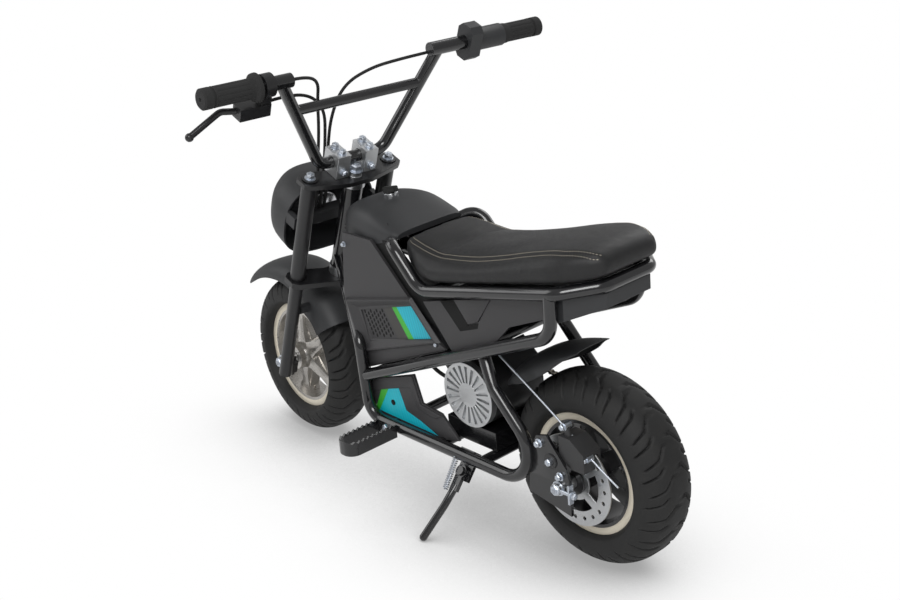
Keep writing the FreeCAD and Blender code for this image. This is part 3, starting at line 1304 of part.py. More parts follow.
outer_ovals, inner_ovals = [], []
for depth, wide, tall in HEADLIGHT_SECTIONS:
    wide, tall = wide * d.headlight_half_width, tall * d.headlight_half_height
    outer_ovals.append(oval(depth * d.headlight_depth, wide, tall))
    inner_ovals.append(oval(depth * d.headlight_depth - d.headlight_wall * (depth > 0) - (depth == 0),
                            wide - d.headlight_wall, tall - d.headlight_wall))
shell_outer = lofted("shell_outer", outer_ovals)
shell_inner = lofted("shell_inner", inner_ovals)
lens_hole = rod("lens_hole", (0, 0, 0), (200, 0, 0), d.lens_radius + d.fit)
HEADLIGHT = FORK * Placement(Vector(d.headlight_x, 0, d.headlight_z), Rotation())
sub_part(cut("shell_cut", shell_outer, [shell_inner, lens_hole]), "headlight_shell", HEADLIGHT)
body = Body("headlight_lens")
depth = d.headlight_depth
lens = body.sketch("XZ_Plane", [[
    (0, depth - 12), (d.lens_radius, depth - 12), (d.lens_radius, depth), (26, depth + 6), (0, depth + 8)]])
body.spin(lens)
sub_part(body.body, "headlight_lens", HEADLIGHT * Placement(Vector(), Rotation(Vector(0, 1, 0), 90)))

band_low, band_high = 290, 310
band_front = leg_x + d.leg_upper_radius + d.fit
band = part_object("Box", "band", Length=4, Width=2 * d.leg_half + 10, Height=band_high - band_low)
band.Placement = Placement(Vector(band_front, -d.leg_half - 5, band_low), Rotation())
ears = [band]
for side in sides:
    ear = part_object("Box", f"ear_{len(ears)}", Width=10, Height=band_high - band_low)
    bind(ear, Length=d.headlight_x - d.fit - band_front)
    ear.Placement = Placement(Vector(band_front, side * (d.leg_half + 5) - 5, band_low), Rotation())
    ears.append(ear)
shelf = part_object("Box", "gland_shelf", Length=20, Width=96, Height=8)
shelf.Placement = Placement(Vector(band_front, -48, band_high - 8), Rotation())
ears.append(shelf)
sub_part(fused("headlight_bracket_whole", ears), "headlight_bracket", FORK)

# Front fender

FENDER = Placement(Vector(d.front_fender_shift, 0, -2), Rotation())
body = Body("front_fender_skin")
crown, half, wall = d.front_fender_radius, d.front_fender_half, d.fender_wall
skin = body.sketch("XY_Plane", [[
    (crown, 18), (crown - 4, 36), (crown - 13, half - 2), (140, half), (140, half - wall),
    (crown - 15, half - 2 - wall), (crown - 7, 34), (crown - wall, 17),
    (crown - wall, -17), (crown - 7, -34), (crown - 15, 2 + wall - half),
    (140, wall - half), (140, -half), (crown - 13, 2 - half), (crown - 4, -36), (crown, -18),
]])
body.spin(skin, angle=d.front_fender_sweep)
skin = body.body
skin.Placement = FENDER * Placement(Vector(), Rotation(Vector(0, 1, 0), -d.front_fender_tip))
boss_place = Rotation(Vector(0, 1, 0), -d.head_angle).multVec(Vector(leg_x, 0, d.fender_boss))
body = Body("front_fender_skirt")
low, top = 122, 143
skirt = body.sketch("XY_Plane", [[(low, half), (top, half), (top, half - wall), (low, half - wall)],
                                 [(low, -half), (top, -half), (top, wall - half), (low, wall - half)]])
body.spin(skirt, angle=d.front_skirt_sweep)
skirt = body.body
skirt.Placement = FENDER * Placement(Vector(), Rotation(Vector(0, 1, 0), -d.front_fender_tip))
bosses = [rod(f"fender_boss_{hand}", (boss_place.x, side * (half - wall), boss_place.z),
              (boss_place.x, side * (d.leg_half - d.leg_lower_radius - d.fit), boss_place.z), 8)
          for side, hand in sides.items()]
sub_part(fused("front_fender_whole", [skin, skirt, *bosses]), "front_fender", FRONT_WHEEL)

# Cables on the handlebar; each row is (ahead, to the left, up, bend radius) in the fork frame

CORD_SHARE = 0.45
shelf_top = band_high + d.fit
case_face = d.case_start - d.fit
CABLES = {
    "cable_brake": [(-8, 162.7, 540), (-3, 118, 540), (0, 74, 528), (6, 40, 492), (7, 31, 436),
                    (0, 30, 372), (0, 30, shelf_top)],
    "cable_switch": [(-20, 127.7, 577), (-20, 100, 577), (-4, 66, 552), (14, 50, 506), (14, 40, 450),
                     (8, 38.5, 392), (0, 38, 350), (0, 38, shelf_top)],
    "cable_throttle": [(-3, -case_face, 562), (-2, -140, 560), (2, -88, 556), (8, -40, 548),
                       (14, 4, 524), (14, 20, 474), (10, 22, 420), (0, 21, 364), (0, 21, shelf_top)],
}


def softened(route):
    """A cord's route with the bend radius of each corner, from its shorter run and its turn."""
    points = [Vector(*(float(value) for value in row)) for row in route]
    rows = [route[0]]
    for before, corner, after, row in zip(points, points[1:], points[2:], route[1:]):
        turn = (corner - before).getAngle(after - corner)
        run = min((corner - before).Length, (after - corner).Length)
        rows.append((*row, round(CORD_SHARE * run / math.tan(turn / 2), 2)))
    return [*rows, route[-1]]


for name, route in CABLES.items():
    rows = softened(route)
    print(name, "radii", [row[3] for row in rows[1:-1]])
    sub_part(bar(name + "_bar", rows, d.cable_radius), name, FORK)


# Checks, lean, and export

doc.recompute()


def checked(thing):
    """Stops the build at an object that failed."""
    bad = [state for state in thing.State if state in ("Invalid", "Error")]
    if bad:
        raise RuntimeError(f"{thing.Name} ({thing.Label}) is {bad}")


def solid_or_stop(thing, label):
    """Stops the build at a sub-part without a sound solid."""
    shape = thing.Shape
    if shape.isNull() or not shape.isValid() or not shape.Solids:
        raise RuntimeError(f"{label} has no sound solid")


for thing in doc.Objects:
    checked(thing)
LEAN = Placement(Vector(), Rotation(Vector(1, 0, 0), -d.lean_angle))
whole = FreeCAD.BoundBox()
for thing, place in sub_parts:
    solid_or_stop(thing, thing.Label)
    shape = thing.Shape.copy()
    shape.Placement = LEAN * place
    whole.add(shape.optimalBoundingBox())
shift = Vector(-(whole.XMin + whole.XMax) / 2, -(whole.YMin + whole.YMax) / 2, -whole.ZMin)
ROW = Placement(shift, Rotation()) * LEAN
for thing, place in sub_parts:
    thing.Placement = ROW * place
doc.recompute()
os.makedirs("parts", exist_ok=True)
for thing, place in sub_parts:
    checked(thing)
    solid_or_stop(thing, thing.Label)
    thing.Shape.exportStep(f"parts/{thing.Label}.step")


def told(point):
    """A point in the leaning frame, in metres."""
    point = ROW.multVec(point)
    return [round(value / 1000, 6) for value in (point.x, point.y, point.z)]


def told_way(way):
    """A direction in the leaning frame."""
    way = ROW.Rotation.multVec(way)
    return [round(value, 6) for value in (way.x, way.y, way.z)]


across = Vector(0, 1, 0)
print("size", [round(value, 2) for value in (whole.XLength, whole.YLength, whole.ZLength)])
print("shift", [round(value, 3) for value in shift])
print("rear_wheel", told(Vector(0, 0, d.rear_tyre_radius)), told_way(across))
print("steering", told(STEERING_POINT), told_way(STEERING_AXIS))
print("front_wheel", told(FRONT_WHEEL.Base), told_way(FRONT_WHEEL.Rotation.multVec(across)))
print("side_stand", told(STAND.Base), told_way(STAND.Rotation.multVec(across)))
print("key_barrel", told(KEY.multVec(Vector(0, 0, d.key_height))), told_way(KEY.Rotation.multVec(Vector(0, 0, 1))))
print("key_base", told(KEY.Base))
print("peg_left", told(Vector(d.peg_x, d.frame_half, d.bottom_rail_z)))
print("parts", len(sub_parts))
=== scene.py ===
"""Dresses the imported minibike: finishes, seat, treads, chain, cords, fasteners, light and camera."""

import json
import logging
import math
from collections.abc import Sequence
from dataclasses import dataclass, field
from enum import Enum
from typing import Any

import bmesh
import bpy
from mathutils import Matrix, Vector
from mathutils.bvhtree import BVHTree


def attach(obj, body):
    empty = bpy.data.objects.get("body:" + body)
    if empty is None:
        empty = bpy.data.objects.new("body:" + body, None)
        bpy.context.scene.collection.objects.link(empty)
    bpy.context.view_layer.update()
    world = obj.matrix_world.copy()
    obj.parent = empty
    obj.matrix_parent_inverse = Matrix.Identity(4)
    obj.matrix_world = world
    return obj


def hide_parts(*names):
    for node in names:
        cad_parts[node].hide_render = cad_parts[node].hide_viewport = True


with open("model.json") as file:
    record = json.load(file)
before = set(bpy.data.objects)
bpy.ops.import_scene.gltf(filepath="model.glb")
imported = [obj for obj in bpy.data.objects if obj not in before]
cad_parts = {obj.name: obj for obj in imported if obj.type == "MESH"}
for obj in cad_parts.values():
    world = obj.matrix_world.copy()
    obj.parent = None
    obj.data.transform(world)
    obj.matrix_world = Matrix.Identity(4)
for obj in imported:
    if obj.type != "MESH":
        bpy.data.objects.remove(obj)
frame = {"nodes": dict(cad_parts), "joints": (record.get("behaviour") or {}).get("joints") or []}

log = logging.getLogger("minibike")
logging.basicConfig(level=logging.INFO, format="%(message)s")

MM = 0.001
Colour = tuple[float, float, float]
Point = Sequence[float]
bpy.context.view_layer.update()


class Bodies(Enum):
    """The moving bodies of the frame."""

    FRAME = "frame"
    REAR_WHEEL = "rear_wheel"
    STEERING = "steering"
    FRONT_WHEEL = "front_wheel"
    STAND = "side_stand"


@dataclass(frozen=True)
class Geometry:
    """The bike's own frames of reference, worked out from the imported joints.

    Attributes are the driving sizes of the source, in millimetres and degrees.
    """

    lean: float = 6.0
    steer: float = -4.6
    head: float = 20.0
    wheelbase: float = 676.0
    rear_radius: float = 146.0
    front_radius: float = 137.0
    axle_lead: float = 25.0
    setback: float = 14.0
    stand_pivot: tuple[float, float, float] = (192.0, 99.0, 110.0)

    def joint(self, name: str) -> dict[str, Any]:
        """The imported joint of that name."""
        return next(row for row in frame["joints"] if row["name"] == name)

    @property
    def bike(self) -> Matrix:
        """The upright bike's frame: x ahead of the rear axle, y left, z above the ground."""
        lean = Matrix.Rotation(math.radians(-self.lean), 4, "X")
        axle = lean @ Vector((0, 0, self.rear_radius * MM))
        shift = Vector(self.joint("rear_wheel_turn")["pos_m"]) - axle
        return Matrix.Translation(shift) @ lean

    @property
    def rear_wheel(self) -> Matrix:
        """Origin in the middle of the rear axle, y along it."""
        return self.bike @ Matrix.Translation(Vector((0, 0, self.rear_radius)) * MM)

    @property
    def turn(self) -> Matrix:
        """How far the parked bars are turned, in the upright bike's frame."""
        straight = self.straight_fork
        pivot = straight @ Vector((-(self.axle_lead + self.setback) * MM, 0, 0))
        axis = (straight.to_3x3() @ Vector((0, 0, 1))).normalized()
        spin = Matrix.Rotation(math.radians(self.steer), 4, axis)
        return Matrix.Translation(pivot) @ spin @ Matrix.Translation(-pivot)

    @property
    def front_axle(self) -> Matrix:
        """The front axle with the bars straight, in the upright bike's frame."""
        return Matrix.Translation(Vector((self.wheelbase, 0, self.front_radius)) * MM)

    @property
    def straight_fork(self) -> Matrix:
        """The fork with the bars straight, in the upright bike's frame."""
        return self.front_axle @ Matrix.Rotation(math.radians(-self.head), 4, "Y")

    @property
    def front_wheel(self) -> Matrix:
        """Origin in the middle of the front axle, y along it."""
        return self.bike @ self.turn @ self.front_axle

    @property
    def fork(self) -> Matrix:
        """Origin on the front axle, z up along the fork legs, x forward of them."""
        return self.bike @ self.turn @ self.straight_fork

    @property
    def stand(self) -> Matrix:
        """Origin on the side stand's pivot, y along its pin."""
        place = self.bike @ Matrix.Translation(Vector(self.stand_pivot) * MM)
        axis = Vector(self.joint("side_stand_fold")["axis"])
        local = self.bike.to_3x3().inverted() @ axis
        return place @ Matrix.Rotation(math.atan2(local.z, local.y), 4, "X")


GEO = Geometry()


class Expr:
    """A number in a shader; Python operators on it add Math nodes."""

    def __init__(self, look: "Look", socket: Any) -> None:
        """Keeps the look it belongs to and the socket, or plain number, that it stands for."""
        self.look = look
        self.socket = socket

    def math(self, operation: str, *others: Any) -> "Expr":
        """Adds a Math node.

        Args:
            operation: the Math node's operation.
            others: its further inputs, as numbers or expressions.

        Returns:
            The node's result.
        """
        values = {0: self.socket}
        for index, other in enumerate(others, start=1):
            values[index] = other.socket if isinstance(other, Expr) else other
        node = self.look.node("ShaderNodeMath", {"operation": operation}, values)
        return Expr(self.look, node.outputs[0])

    def swapped(self, operation: str, other: Any) -> "Expr":
        """Adds a Math node with the plain number first."""
        return Expr(self.look, other).math(operation, self)

    def __add__(self, other: Any) -> "Expr":
        """Sum."""
        return self.math("ADD", other)

    __radd__ = __add__

    def __sub__(self, other: Any) -> "Expr":
        """Difference."""
        return self.math("SUBTRACT", other)

    def __rsub__(self, other: Any) -> "Expr":
        """Difference from a plain number."""
        return self.swapped("SUBTRACT", other)

    def __mul__(self, other: Any) -> "Expr":
        """Product."""
        return self.math("MULTIPLY", other)

    __rmul__ = __mul__

    def __truediv__(self, other: Any) -> "Expr":
        """Quotient."""
        return self.math("DIVIDE", other)

    def __rtruediv__(self, other: Any) -> "Expr":
        """Quotient of a plain number."""
        return self.swapped("DIVIDE", other)

    def __neg__(self) -> "Expr":
        """Negative."""
        return self.math("MULTIPLY", -1.0)

    def __abs__(self) -> "Expr":
        """Absolute value."""
        return self.math("ABSOLUTE")

    def __gt__(self, other: Any) -> "Expr":
        """One where it is greater, else nought."""
        return self.math("GREATER_THAN", other)

    def __lt__(self, other: Any) -> "Expr":
        """One where it is less, else nought."""
        return self.math("LESS_THAN", other)

    def __and__(self, other: Any) -> "Expr":
        """The smaller of two masks."""
        return self.math("MINIMUM", other)

    def __or__(self, other: Any) -> "Expr":
        """The greater of two masks."""
        return self.math("MAXIMUM", other)

    def __mod__(self, other: Any) -> "Expr":
        """Remainder that never turns negative."""
        return self.math("FLOORED_MODULO", other)

    def soft(self, low: float, high: float) -> "Expr":
        """A smooth step from nought at low to one at high."""
        node = self.look.node("ShaderNodeMapRange", {"interpolation_type": "SMOOTHSTEP"},
                              {"Value": self.socket, "From Min": low, "From Max": high})
        return Expr(self.look, node.outputs[0])


class Look:
    """One material under construction, with a Principled shader at its end."""

    def __init__(self, name: str) -> None:
        """Starts a material of that name."""
        self.material = bpy.data.materials.new(name)
        self.material.use_nodes = True
        self.tree = self.material.node_tree
        self.shader = self.tree.nodes["Principled BSDF"]

    def node(self, kind: str, settings: dict[str, Any] | None = None,
             values: dict[Any, Any] | None = None) -> bpy.types.ShaderNode:
        """Adds a node.

        Args:
            kind: the node's type.
            settings: properties to set before anything else.
            values: numbers, colours, sockets or expressions for its inputs, by name or index.

        Returns:
            The node.
        """
        made = self.tree.nodes.new(kind)
        for name, value in (settings or {}).items():
            setattr(made, name, value)
        for name, value in (values or {}).items():
            self.feed(made.inputs[name], value)
        return made

    def feed(self, socket: bpy.types.NodeSocket, value: Any) -> None:
        """Links a socket or expression to an input, or sets a plain value there."""
        value = value.socket if isinstance(value, Expr) else value
        if isinstance(value, bpy.types.NodeSocket):
            self.tree.links.new(value, socket)
        elif socket.type == "RGBA" and len(value) == 3:
            socket.default_value = (*value, 1.0)
        else:
            socket.default_value = value

    def set(self, **values: Any) -> None:
        """Feeds the shader's inputs; an underscore in a name stands for a space."""
        for name, value in values.items():
            self.feed(self.shader.inputs[name.replace("_", " ")], value)

    def place(self, matrix: Matrix | None = None) -> bpy.types.NodeSocket:
        """Object coordinates, or those of a frame of reference.

        Args:
            matrix: the frame of reference, in the row frame.

        Returns:
            A vector socket, in metres.
        """
        coordinates = self.node("ShaderNodeTexCoord").outputs["Object"]
        if matrix is None:
            return coordinates
        mapping = self.node("ShaderNodeMapping", {"vector_type": "TEXTURE"}, {
            "Vector": coordinates,
            "Location": tuple(matrix.to_translation()),
            "Rotation": tuple(matrix.to_euler("XYZ")),
        })
        return mapping.outputs[0]

    def axes(self, vector: bpy.types.NodeSocket) -> tuple[Expr, Expr, Expr]:
        """The three parts of a vector, as expressions in millimetres."""
        parts = self.node("ShaderNodeSeparateXYZ", values={0: vector})
        x, y, z = (Expr(self, output) / MM for output in parts.outputs)
        return x, y, z

    def noise(self, scale: float, detail: float = 4.0, vector: Any = None,
              roughness: float = 0.55) -> Expr:
        """A noise pattern, about 0.5 on average."""
        node = self.node("ShaderNodeTexNoise", {"noise_dimensions": "3D"}, {
            "Vector": vector or self.place(), "Scale": scale, "Detail": detail,
            "Roughness": roughness,
        })
        return Expr(self, node.outputs[0])

    def cells(self, scale: float, vector: Any = None) -> Expr:
        """Distance to the edges of a cell pattern, as in grained leather."""
        node = self.node("ShaderNodeTexVoronoi", {"feature": "DISTANCE_TO_EDGE"}, {
            "Vector": vector or self.place(), "Scale": scale})
        return Expr(self, node.outputs[0])

    def mix(self, mask: Any, first: Any, second: Any) -> bpy.types.NodeSocket:
        """A colour that goes from the first to the second as the mask goes from 0 to 1."""
        node = self.node("ShaderNodeMix", {"data_type": "RGBA"}, {
            "Factor": mask, 6: first, 7: second})
        return node.outputs[2]

    def bump(self, height: Expr, depth: float, strength: float = 1.0, under: Any = None) -> Any:
        """A normal socket that stands proud by depth, in metres, where the height is one."""
        values = {"Height": height, "Distance": depth, "Strength": strength}
        if under is not None:
            values["Normal"] = under
        return self.node("ShaderNodeBump", values=values).outputs[0]


@dataclass(frozen=True)
class Finish:
    """A plain finish: a colour that varies a little, a roughness that varies and a fine grain."""

    name: str
    colour: Colour
    roughness: float = 0.5
    metallic: float = 0.0
    coat: float = 0.0
    grain_scale: float = 900.0
    grain_depth: float = 0.00004
    shade: float = 0.12
    dust: float = 0.0
    dust_colour: Colour = (0.30, 0.27, 0.23)

    def build(self) -> bpy.types.Material:
        """The material, made once."""
        if self.name in bpy.data.materials:
            return bpy.data.materials[self.name]
        look = Look(self.name)
        self.paint(look)
        return look.material

    def paint(self, look: Look) -> None:
        """Feeds the shader."""
        broad = look.noise(14.0, 5.0)
        grain = look.noise(self.grain_scale, 2.0)
        colour = look.mix(broad, self.tone(1.0 - self.shade), self.tone(1.0 + self.shade))
        roughness = self.roughness + (broad - 0.5) * 0.16
        if self.dust:
            settled = (look.noise(45.0, 6.0) - 0.45).soft(0.0, 0.3) * self.dust
            colour = look.mix(settled, colour, self.dust_colour)
            roughness = roughness + settled * 0.25
        look.set(Base_Color=colour, Roughness=roughness, Metallic=self.metallic,
                 Normal=look.bump(grain, self.grain_depth))
        if self.coat:
            look.set(Coat_Weight=self.coat, Coat_Roughness=0.08)

    def tone(self, share: float) -> Colour:
        """The colour, lighter or darker."""
        return tuple(min(1.0, part * share) for part in self.colour)


@dataclass(frozen=True)
class Brushed(Finish):
    """A bright metal with fine turned or brushed lines."""

    metallic: float = 1.0
    axis: int = 0

    def paint(self, look: Look) -> None:
        """Adds stretched noise to the plain finish."""
        super().paint(look)
        stretch = [900.0, 900.0, 900.0]
        stretch[self.axis] = 40.0
        node = look.node("ShaderNodeMapping", values={"Vector": look.place(), "Scale": stretch})
        lines = look.noise(1.0, 2.0, node.outputs[0])
        look.set(Roughness=self.roughness + (lines - 0.5) * 0.25,
                 Normal=look.bump(lines, 0.00002))


@dataclass(frozen=True)
class Leather(Finish):
    """Grained vinyl with fine creases."""

    cell: float = 620.0

    def paint(self, look: Look) -> None:
        """Adds the grain's cells to the plain finish."""
        super().paint(look)
        pebbles = look.cells(self.cell).soft(0.0, 0.12)
        creases = look.noise(120.0, 6.0)
        grain = look.bump(pebbles, 0.00009)
        look.set(Normal=look.bump(creases, 0.0002, 0.5, grain),
                 Roughness=self.roughness + (1.0 - pebbles) * 0.22 + (creases - 0.5) * 0.2)


@dataclass(frozen=True)
class Hatched(Finish):
    """A printed field that goes from blue to teal, with fine woven hatching."""

    def paint(self, look: Look) -> None:
        """Draws the hatching in the bike's frame."""
        x, _, z = look.axes(look.place(GEO.bike))
        weave = abs((x * 0.9 + z * 0.35) % 3.4 - 1.7) * 0.6
        cross = abs((z * 1.1 - x * 0.3) % 2.6 - 1.3) * 0.7
        tone = ((weave + cross) * 0.62).soft(0.2, 1.1)
        deep = (x - 250.0) / 140.0
        base = look.mix(deep, (0.0, 0.22, 0.36), (0.0, 0.46, 0.56))
        look.set(Base_Color=look.mix(tone, base, (0.01, 0.56, 0.66)),
                 Roughness=self.roughness + (tone - 0.5) * 0.1,
                 Normal=look.bump(look.noise(900.0, 2.0), 0.00003))


class Finishes:
    """Every finish of the bike, by what wears it."""

    TUBE = Finish("tube_gloss_black", (0.007, 0.007, 0.008), 0.2, coat=0.6, grain_scale=160.0,
                  grain_depth=0.00012, shade=0.2)
    FORK = Finish("fork_satin_black", (0.009, 0.009, 0.010), 0.36, coat=0.2, grain_scale=300.0)
    PANEL = Finish("panel_charcoal", (0.034, 0.033, 0.035), 0.48, grain_scale=1500.0)
    COVER = Finish("cover_dark_grey", (0.027, 0.028, 0.030), 0.52, grain_scale=1300.0,
                   grain_depth=0.00008)
    SEAT = Leather("seat_vinyl", (0.007, 0.007, 0.0075), 0.42)
    RUBBER = Finish("tyre_rubber", (0.009, 0.009, 0.009), 0.66, grain_scale=700.0,
                    grain_depth=0.0001, dust=0.2, dust_colour=(0.035, 0.033, 0.03))
    GRIP = Finish("grip_rubber", (0.008, 0.008, 0.008), 0.62, grain_scale=1100.0,
                  grain_depth=0.00008)
    REAR_RIM = Finish("rim_black", (0.018, 0.018, 0.019), 0.3, coat=0.4)
    FRONT_RIM = Brushed("rim_polished", (0.52, 0.50, 0.47), 0.3, metallic=0.9)
    STEEL = Brushed("steel_bright", (0.56, 0.57, 0.58), 0.32)
    ZINC = Finish("zinc_bluish", (0.60, 0.64, 0.70), 0.34, metallic=1.0, grain_scale=500.0)
    CHAIN = Finish("chain_oiled", (0.22, 0.20, 0.17), 0.42, metallic=1.0, dust=0.4,
                   dust_colour=(0.03, 0.025, 0.02))
    MOTOR = Finish("motor_black", (0.02, 0.02, 0.021), 0.4)
    CAST = Brushed("cast_silver", (0.62, 0.63, 0.64), 0.42)
    CALIPER = Finish("caliper_black", (0.03, 0.03, 0.031), 0.45)
    BATTERY = Finish("battery_black", (0.02, 0.02, 0.022), 0.5)
    SHEATH = Finish("cable_sheath", (0.012, 0.012, 0.012), 0.4)
    KEY = Brushed("key_plated", (0.70, 0.71, 0.73), 0.2)
    THREAD = Finish("thread_cream", (0.62, 0.56, 0.44), 0.8)
    IVORY = Finish("rim_ivory", (0.74, 0.68, 0.56), 0.42, metallic=0.25)
    GREEN = Finish("print_green", (0.045, 0.42, 0.03), 0.4)
    TRIM = Finish("trim_grey", (0.045, 0.043, 0.04), 0.5)
    # near-black painted shade: sheets that stand for the shade behind the seat tubes and in the covers'
    # joints
    SHADE_SHEET = Finish("liner_black", (0.006, 0.006, 0.006), 0.8)
    # near-black painted shade that stands for the dark inside of holes, ports and grooves
    HOLE_SHADE = Finish("painted_hole_shade", (0.003, 0.003, 0.003), 0.9)
    CYAN = Hatched("print_cyan", (0.0, 0.30, 0.42), 0.42)


@dataclass(frozen=True)
class LensLook(Finish):
    """Clear moulded plastic."""

    def paint(self, look: Look) -> None:
        """Sets the clear shader."""
        fine = look.noise(300.0, 2.0)
        look.set(Base_Color=look.mix(fine, (0.78, 0.85, 0.9), (0.9, 0.94, 0.96)),
                 Roughness=0.05 + fine * 0.05, Transmission_Weight=0.85, IOR=1.49)


LENS = LensLook("lens_clear", (0.8, 0.86, 0.9))


def finished(name: str, mesh: bpy.types.Mesh, finish: Finish | bpy.types.Material, body: Bodies,
             smooth: float = 35.0) -> bpy.types.Object:
    """Puts a mesh, already in the row frame, on a body.

    Args:
        name: the piece's name.
        mesh: its mesh.
        finish: its finish, or a material.
        body: the body that it rides on.
        smooth: edges sharper than this many degrees stay sharp.

    Returns:
        The piece.
    """
    piece = bpy.data.objects.new(name, mesh)
    bpy.context.scene.collection.objects.link(piece)
    mesh.materials.clear()
    mesh.materials.append(finish.build() if isinstance(finish, Finish) else finish)
    mesh.polygons.foreach_set("use_smooth", [True] * len(mesh.polygons))
    mesh.set_sharp_from_angle(angle=math.radians(smooth))
    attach(piece, body.value)
    return piece


def meshed(name: str, bm: bmesh.types.BMesh, matrix: Matrix = Matrix()) -> bpy.types.Mesh:
    """Turns a bmesh, drawn in a frame of reference, into a mesh in the row frame."""
    bmesh.ops.transform(bm, matrix=matrix, verts=bm.verts)
    mesh = bpy.data.meshes.new(name)
    bm.to_mesh(mesh)
    bm.free()
    return mesh


class Dresser:
    """Gives CAD nodes their finish, with merged faces and eased edges."""

    def __init__(self, ease: float = 0.7) -> None:
        """Keeps the width of an eased edge, in millimetres."""
        self.ease = ease * MM

    def dress(self, node: str, finish: Finish | bpy.types.Material, body: Bodies,
              ease: float | None = None) -> bpy.types.Object:
        """Stands a merged copy with eased edges in for a CAD node.

        Args:
            node: the CAD node.
            finish: its finish.
            body: the body that it belongs to.
            ease: width of the eased edges in metres; nought leaves them sharp.

        Returns:
            The copy.
        """
        bm = bmesh.new()
        bm.from_mesh(frame["nodes"][node].data)
        bmesh.ops.remove_doubles(bm, verts=bm.verts, dist=2e-6)
        bmesh.ops.dissolve_limit(bm, angle_limit=math.radians(0.5), verts=bm.verts,
                                 edges=bm.edges, delimit={"NORMAL"})
        piece = finished(node + "_form", meshed(node + "_form", bm), finish, body)
        ease = self.ease if ease is None else ease
        if ease:
            bevel = piece.modifiers.new("ease", "BEVEL")
            bevel.width = ease
            bevel.segments = 2
            bevel.limit_method = "ANGLE"
            bevel.angle_limit = math.radians(40)
            bevel.harden_normals = True
        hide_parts(node)
        return piece


def scaled(matrix: Matrix) -> Matrix:
    """A frame of reference whose unit is the millimetre."""
    return matrix @ Matrix.Scale(MM, 4)


def spun(bm: bmesh.types.BMesh, profile: Sequence[tuple[float, float]], steps: int = 96,
         start: float = 0.0, sweep: float = 360.0) -> None:
    """Turns a closed outline about the y axis.

    Args:
        bm: the mesh to add to.
        profile: (distance from the axis, place along it), in millimetres.
        steps: facets of the turn.
        start: where it starts, in degrees up from straight ahead.
        sweep: how far it goes, in degrees.
    """
    whole = sweep > 359.9
    rings = []
    for number in range(steps if whole else steps + 1):
        turn = math.radians(start + sweep * number / steps)
        rings.append([bm.verts.new((reach * math.cos(turn), along, reach * math.sin(turn)))
                      for reach, along in profile])
    pairs = list(zip(rings, rings[1:])) + ([(rings[-1], rings[0])] if whole else [])
    for one, two in pairs:
        for index in range(len(profile)):
            bm.faces.new((one[index - 1], one[index], two[index], two[index - 1]))
    if not whole:
        bm.faces.new(rings[0])
        bm.faces.new(list(reversed(rings[-1])))
    bmesh.ops.recalc_face_normals(bm, faces=bm.faces)


def towards(spot: Point, axis: Point) -> Matrix:
    """A frame at a spot whose z axis points along a direction."""
    turn = Vector(axis).to_track_quat("Z", "Y").to_matrix().to_4x4()
    return Matrix.Translation(Vector(spot)) @ turn


def post(bm: bmesh.types.BMesh, spot: Point, axis: Point, radius: float, height: float,
         sides: int = 24, tip: float | None = None) -> None:
    """Adds a round or many-sided post that stands on a spot.

    Args:
        bm: the mesh to add to.
        spot: the middle of its foot, in millimetres.
        axis: the way it stands.
        radius: radius of its foot.
        height: its height.
        sides: how many sides it has.
        tip: radius of its top; the foot's when left out.
    """
    place = towards(spot, axis) @ Matrix.Translation((0, 0, height / 2))
    bmesh.ops.create_cone(bm, cap_ends=True, segments=sides, radius1=radius,
                          radius2=radius if tip is None else tip, depth=height, matrix=place)


def bolt(bm: bmesh.types.BMesh, spot: Point, axis: Point, across: float, height: float = 0.0,
         washer: bool = True) -> None:
    """Adds a hexagon head, chamfered, on a washer.

    Args:
        bm: the mesh to add to.
        spot: where the washer lies, in millimetres.
        axis: the way the head points.
        across: the head's size across flats.
        height: the head's height; two thirds of its size when left out.
        washer: whether there is one.
    """
    way = Vector(axis).normalized()
    height = height or across * 0.66
    foot = Vector(spot)
    if washer:
        post(bm, foot, way, across * 0.74, 1.2, 28)
        foot = foot + way * 1.2
    radius = across / math.sqrt(3)
    post(bm, foot, way, radius, height * 0.8, 6)
    post(bm, foot + way * height * 0.8, way, radius, height * 0.2, 6, radius * 0.82)
    post(bm, foot + way * height, way, radius * 0.42, 0.8, 16)


def ribbon(points: Sequence[Point], count: int) -> list[Vector]:
    """Points along a smooth line through the given ones."""
    spots = [Vector(point) for point in points]
    spots = [spots[0] * 2 - spots[1], *spots, spots[-1] * 2 - spots[-2]]
    line = []
    for number in range(count):
        place = number / (count - 1) * (len(spots) - 3)
        index = min(int(place), len(spots) - 4)
        t = place - index
        a, b, c, e = spots[index:index + 4]
        line.append(0.5 * (2 * b + (c - a) * t + (2 * a - 5 * b + 4 * c - e) * t ** 2
                           + (3 * b - a - 3 * c + e) * t ** 3))
    return line


def skinned(bm: bmesh.types.BMesh, sections: Sequence[Sequence[Vector]], capped: bool = True,
            closed: bool = True) -> None:
    """Joins sections of as many points each into a skin."""
    rings = [[bm.verts.new(spot) for spot in section] for section in sections]
    for one, two in zip(rings, rings[1:]):
        for index in range(0 if closed else 1, len(one)):
            bm.faces.new((one[index - 1], one[index], two[index], two[index - 1]))
    if capped:
        bm.faces.new(rings[0])
        bm.faces.new(list(reversed(rings[-1])))
    bmesh.ops.recalc_face_normals(bm, faces=bm.faces)


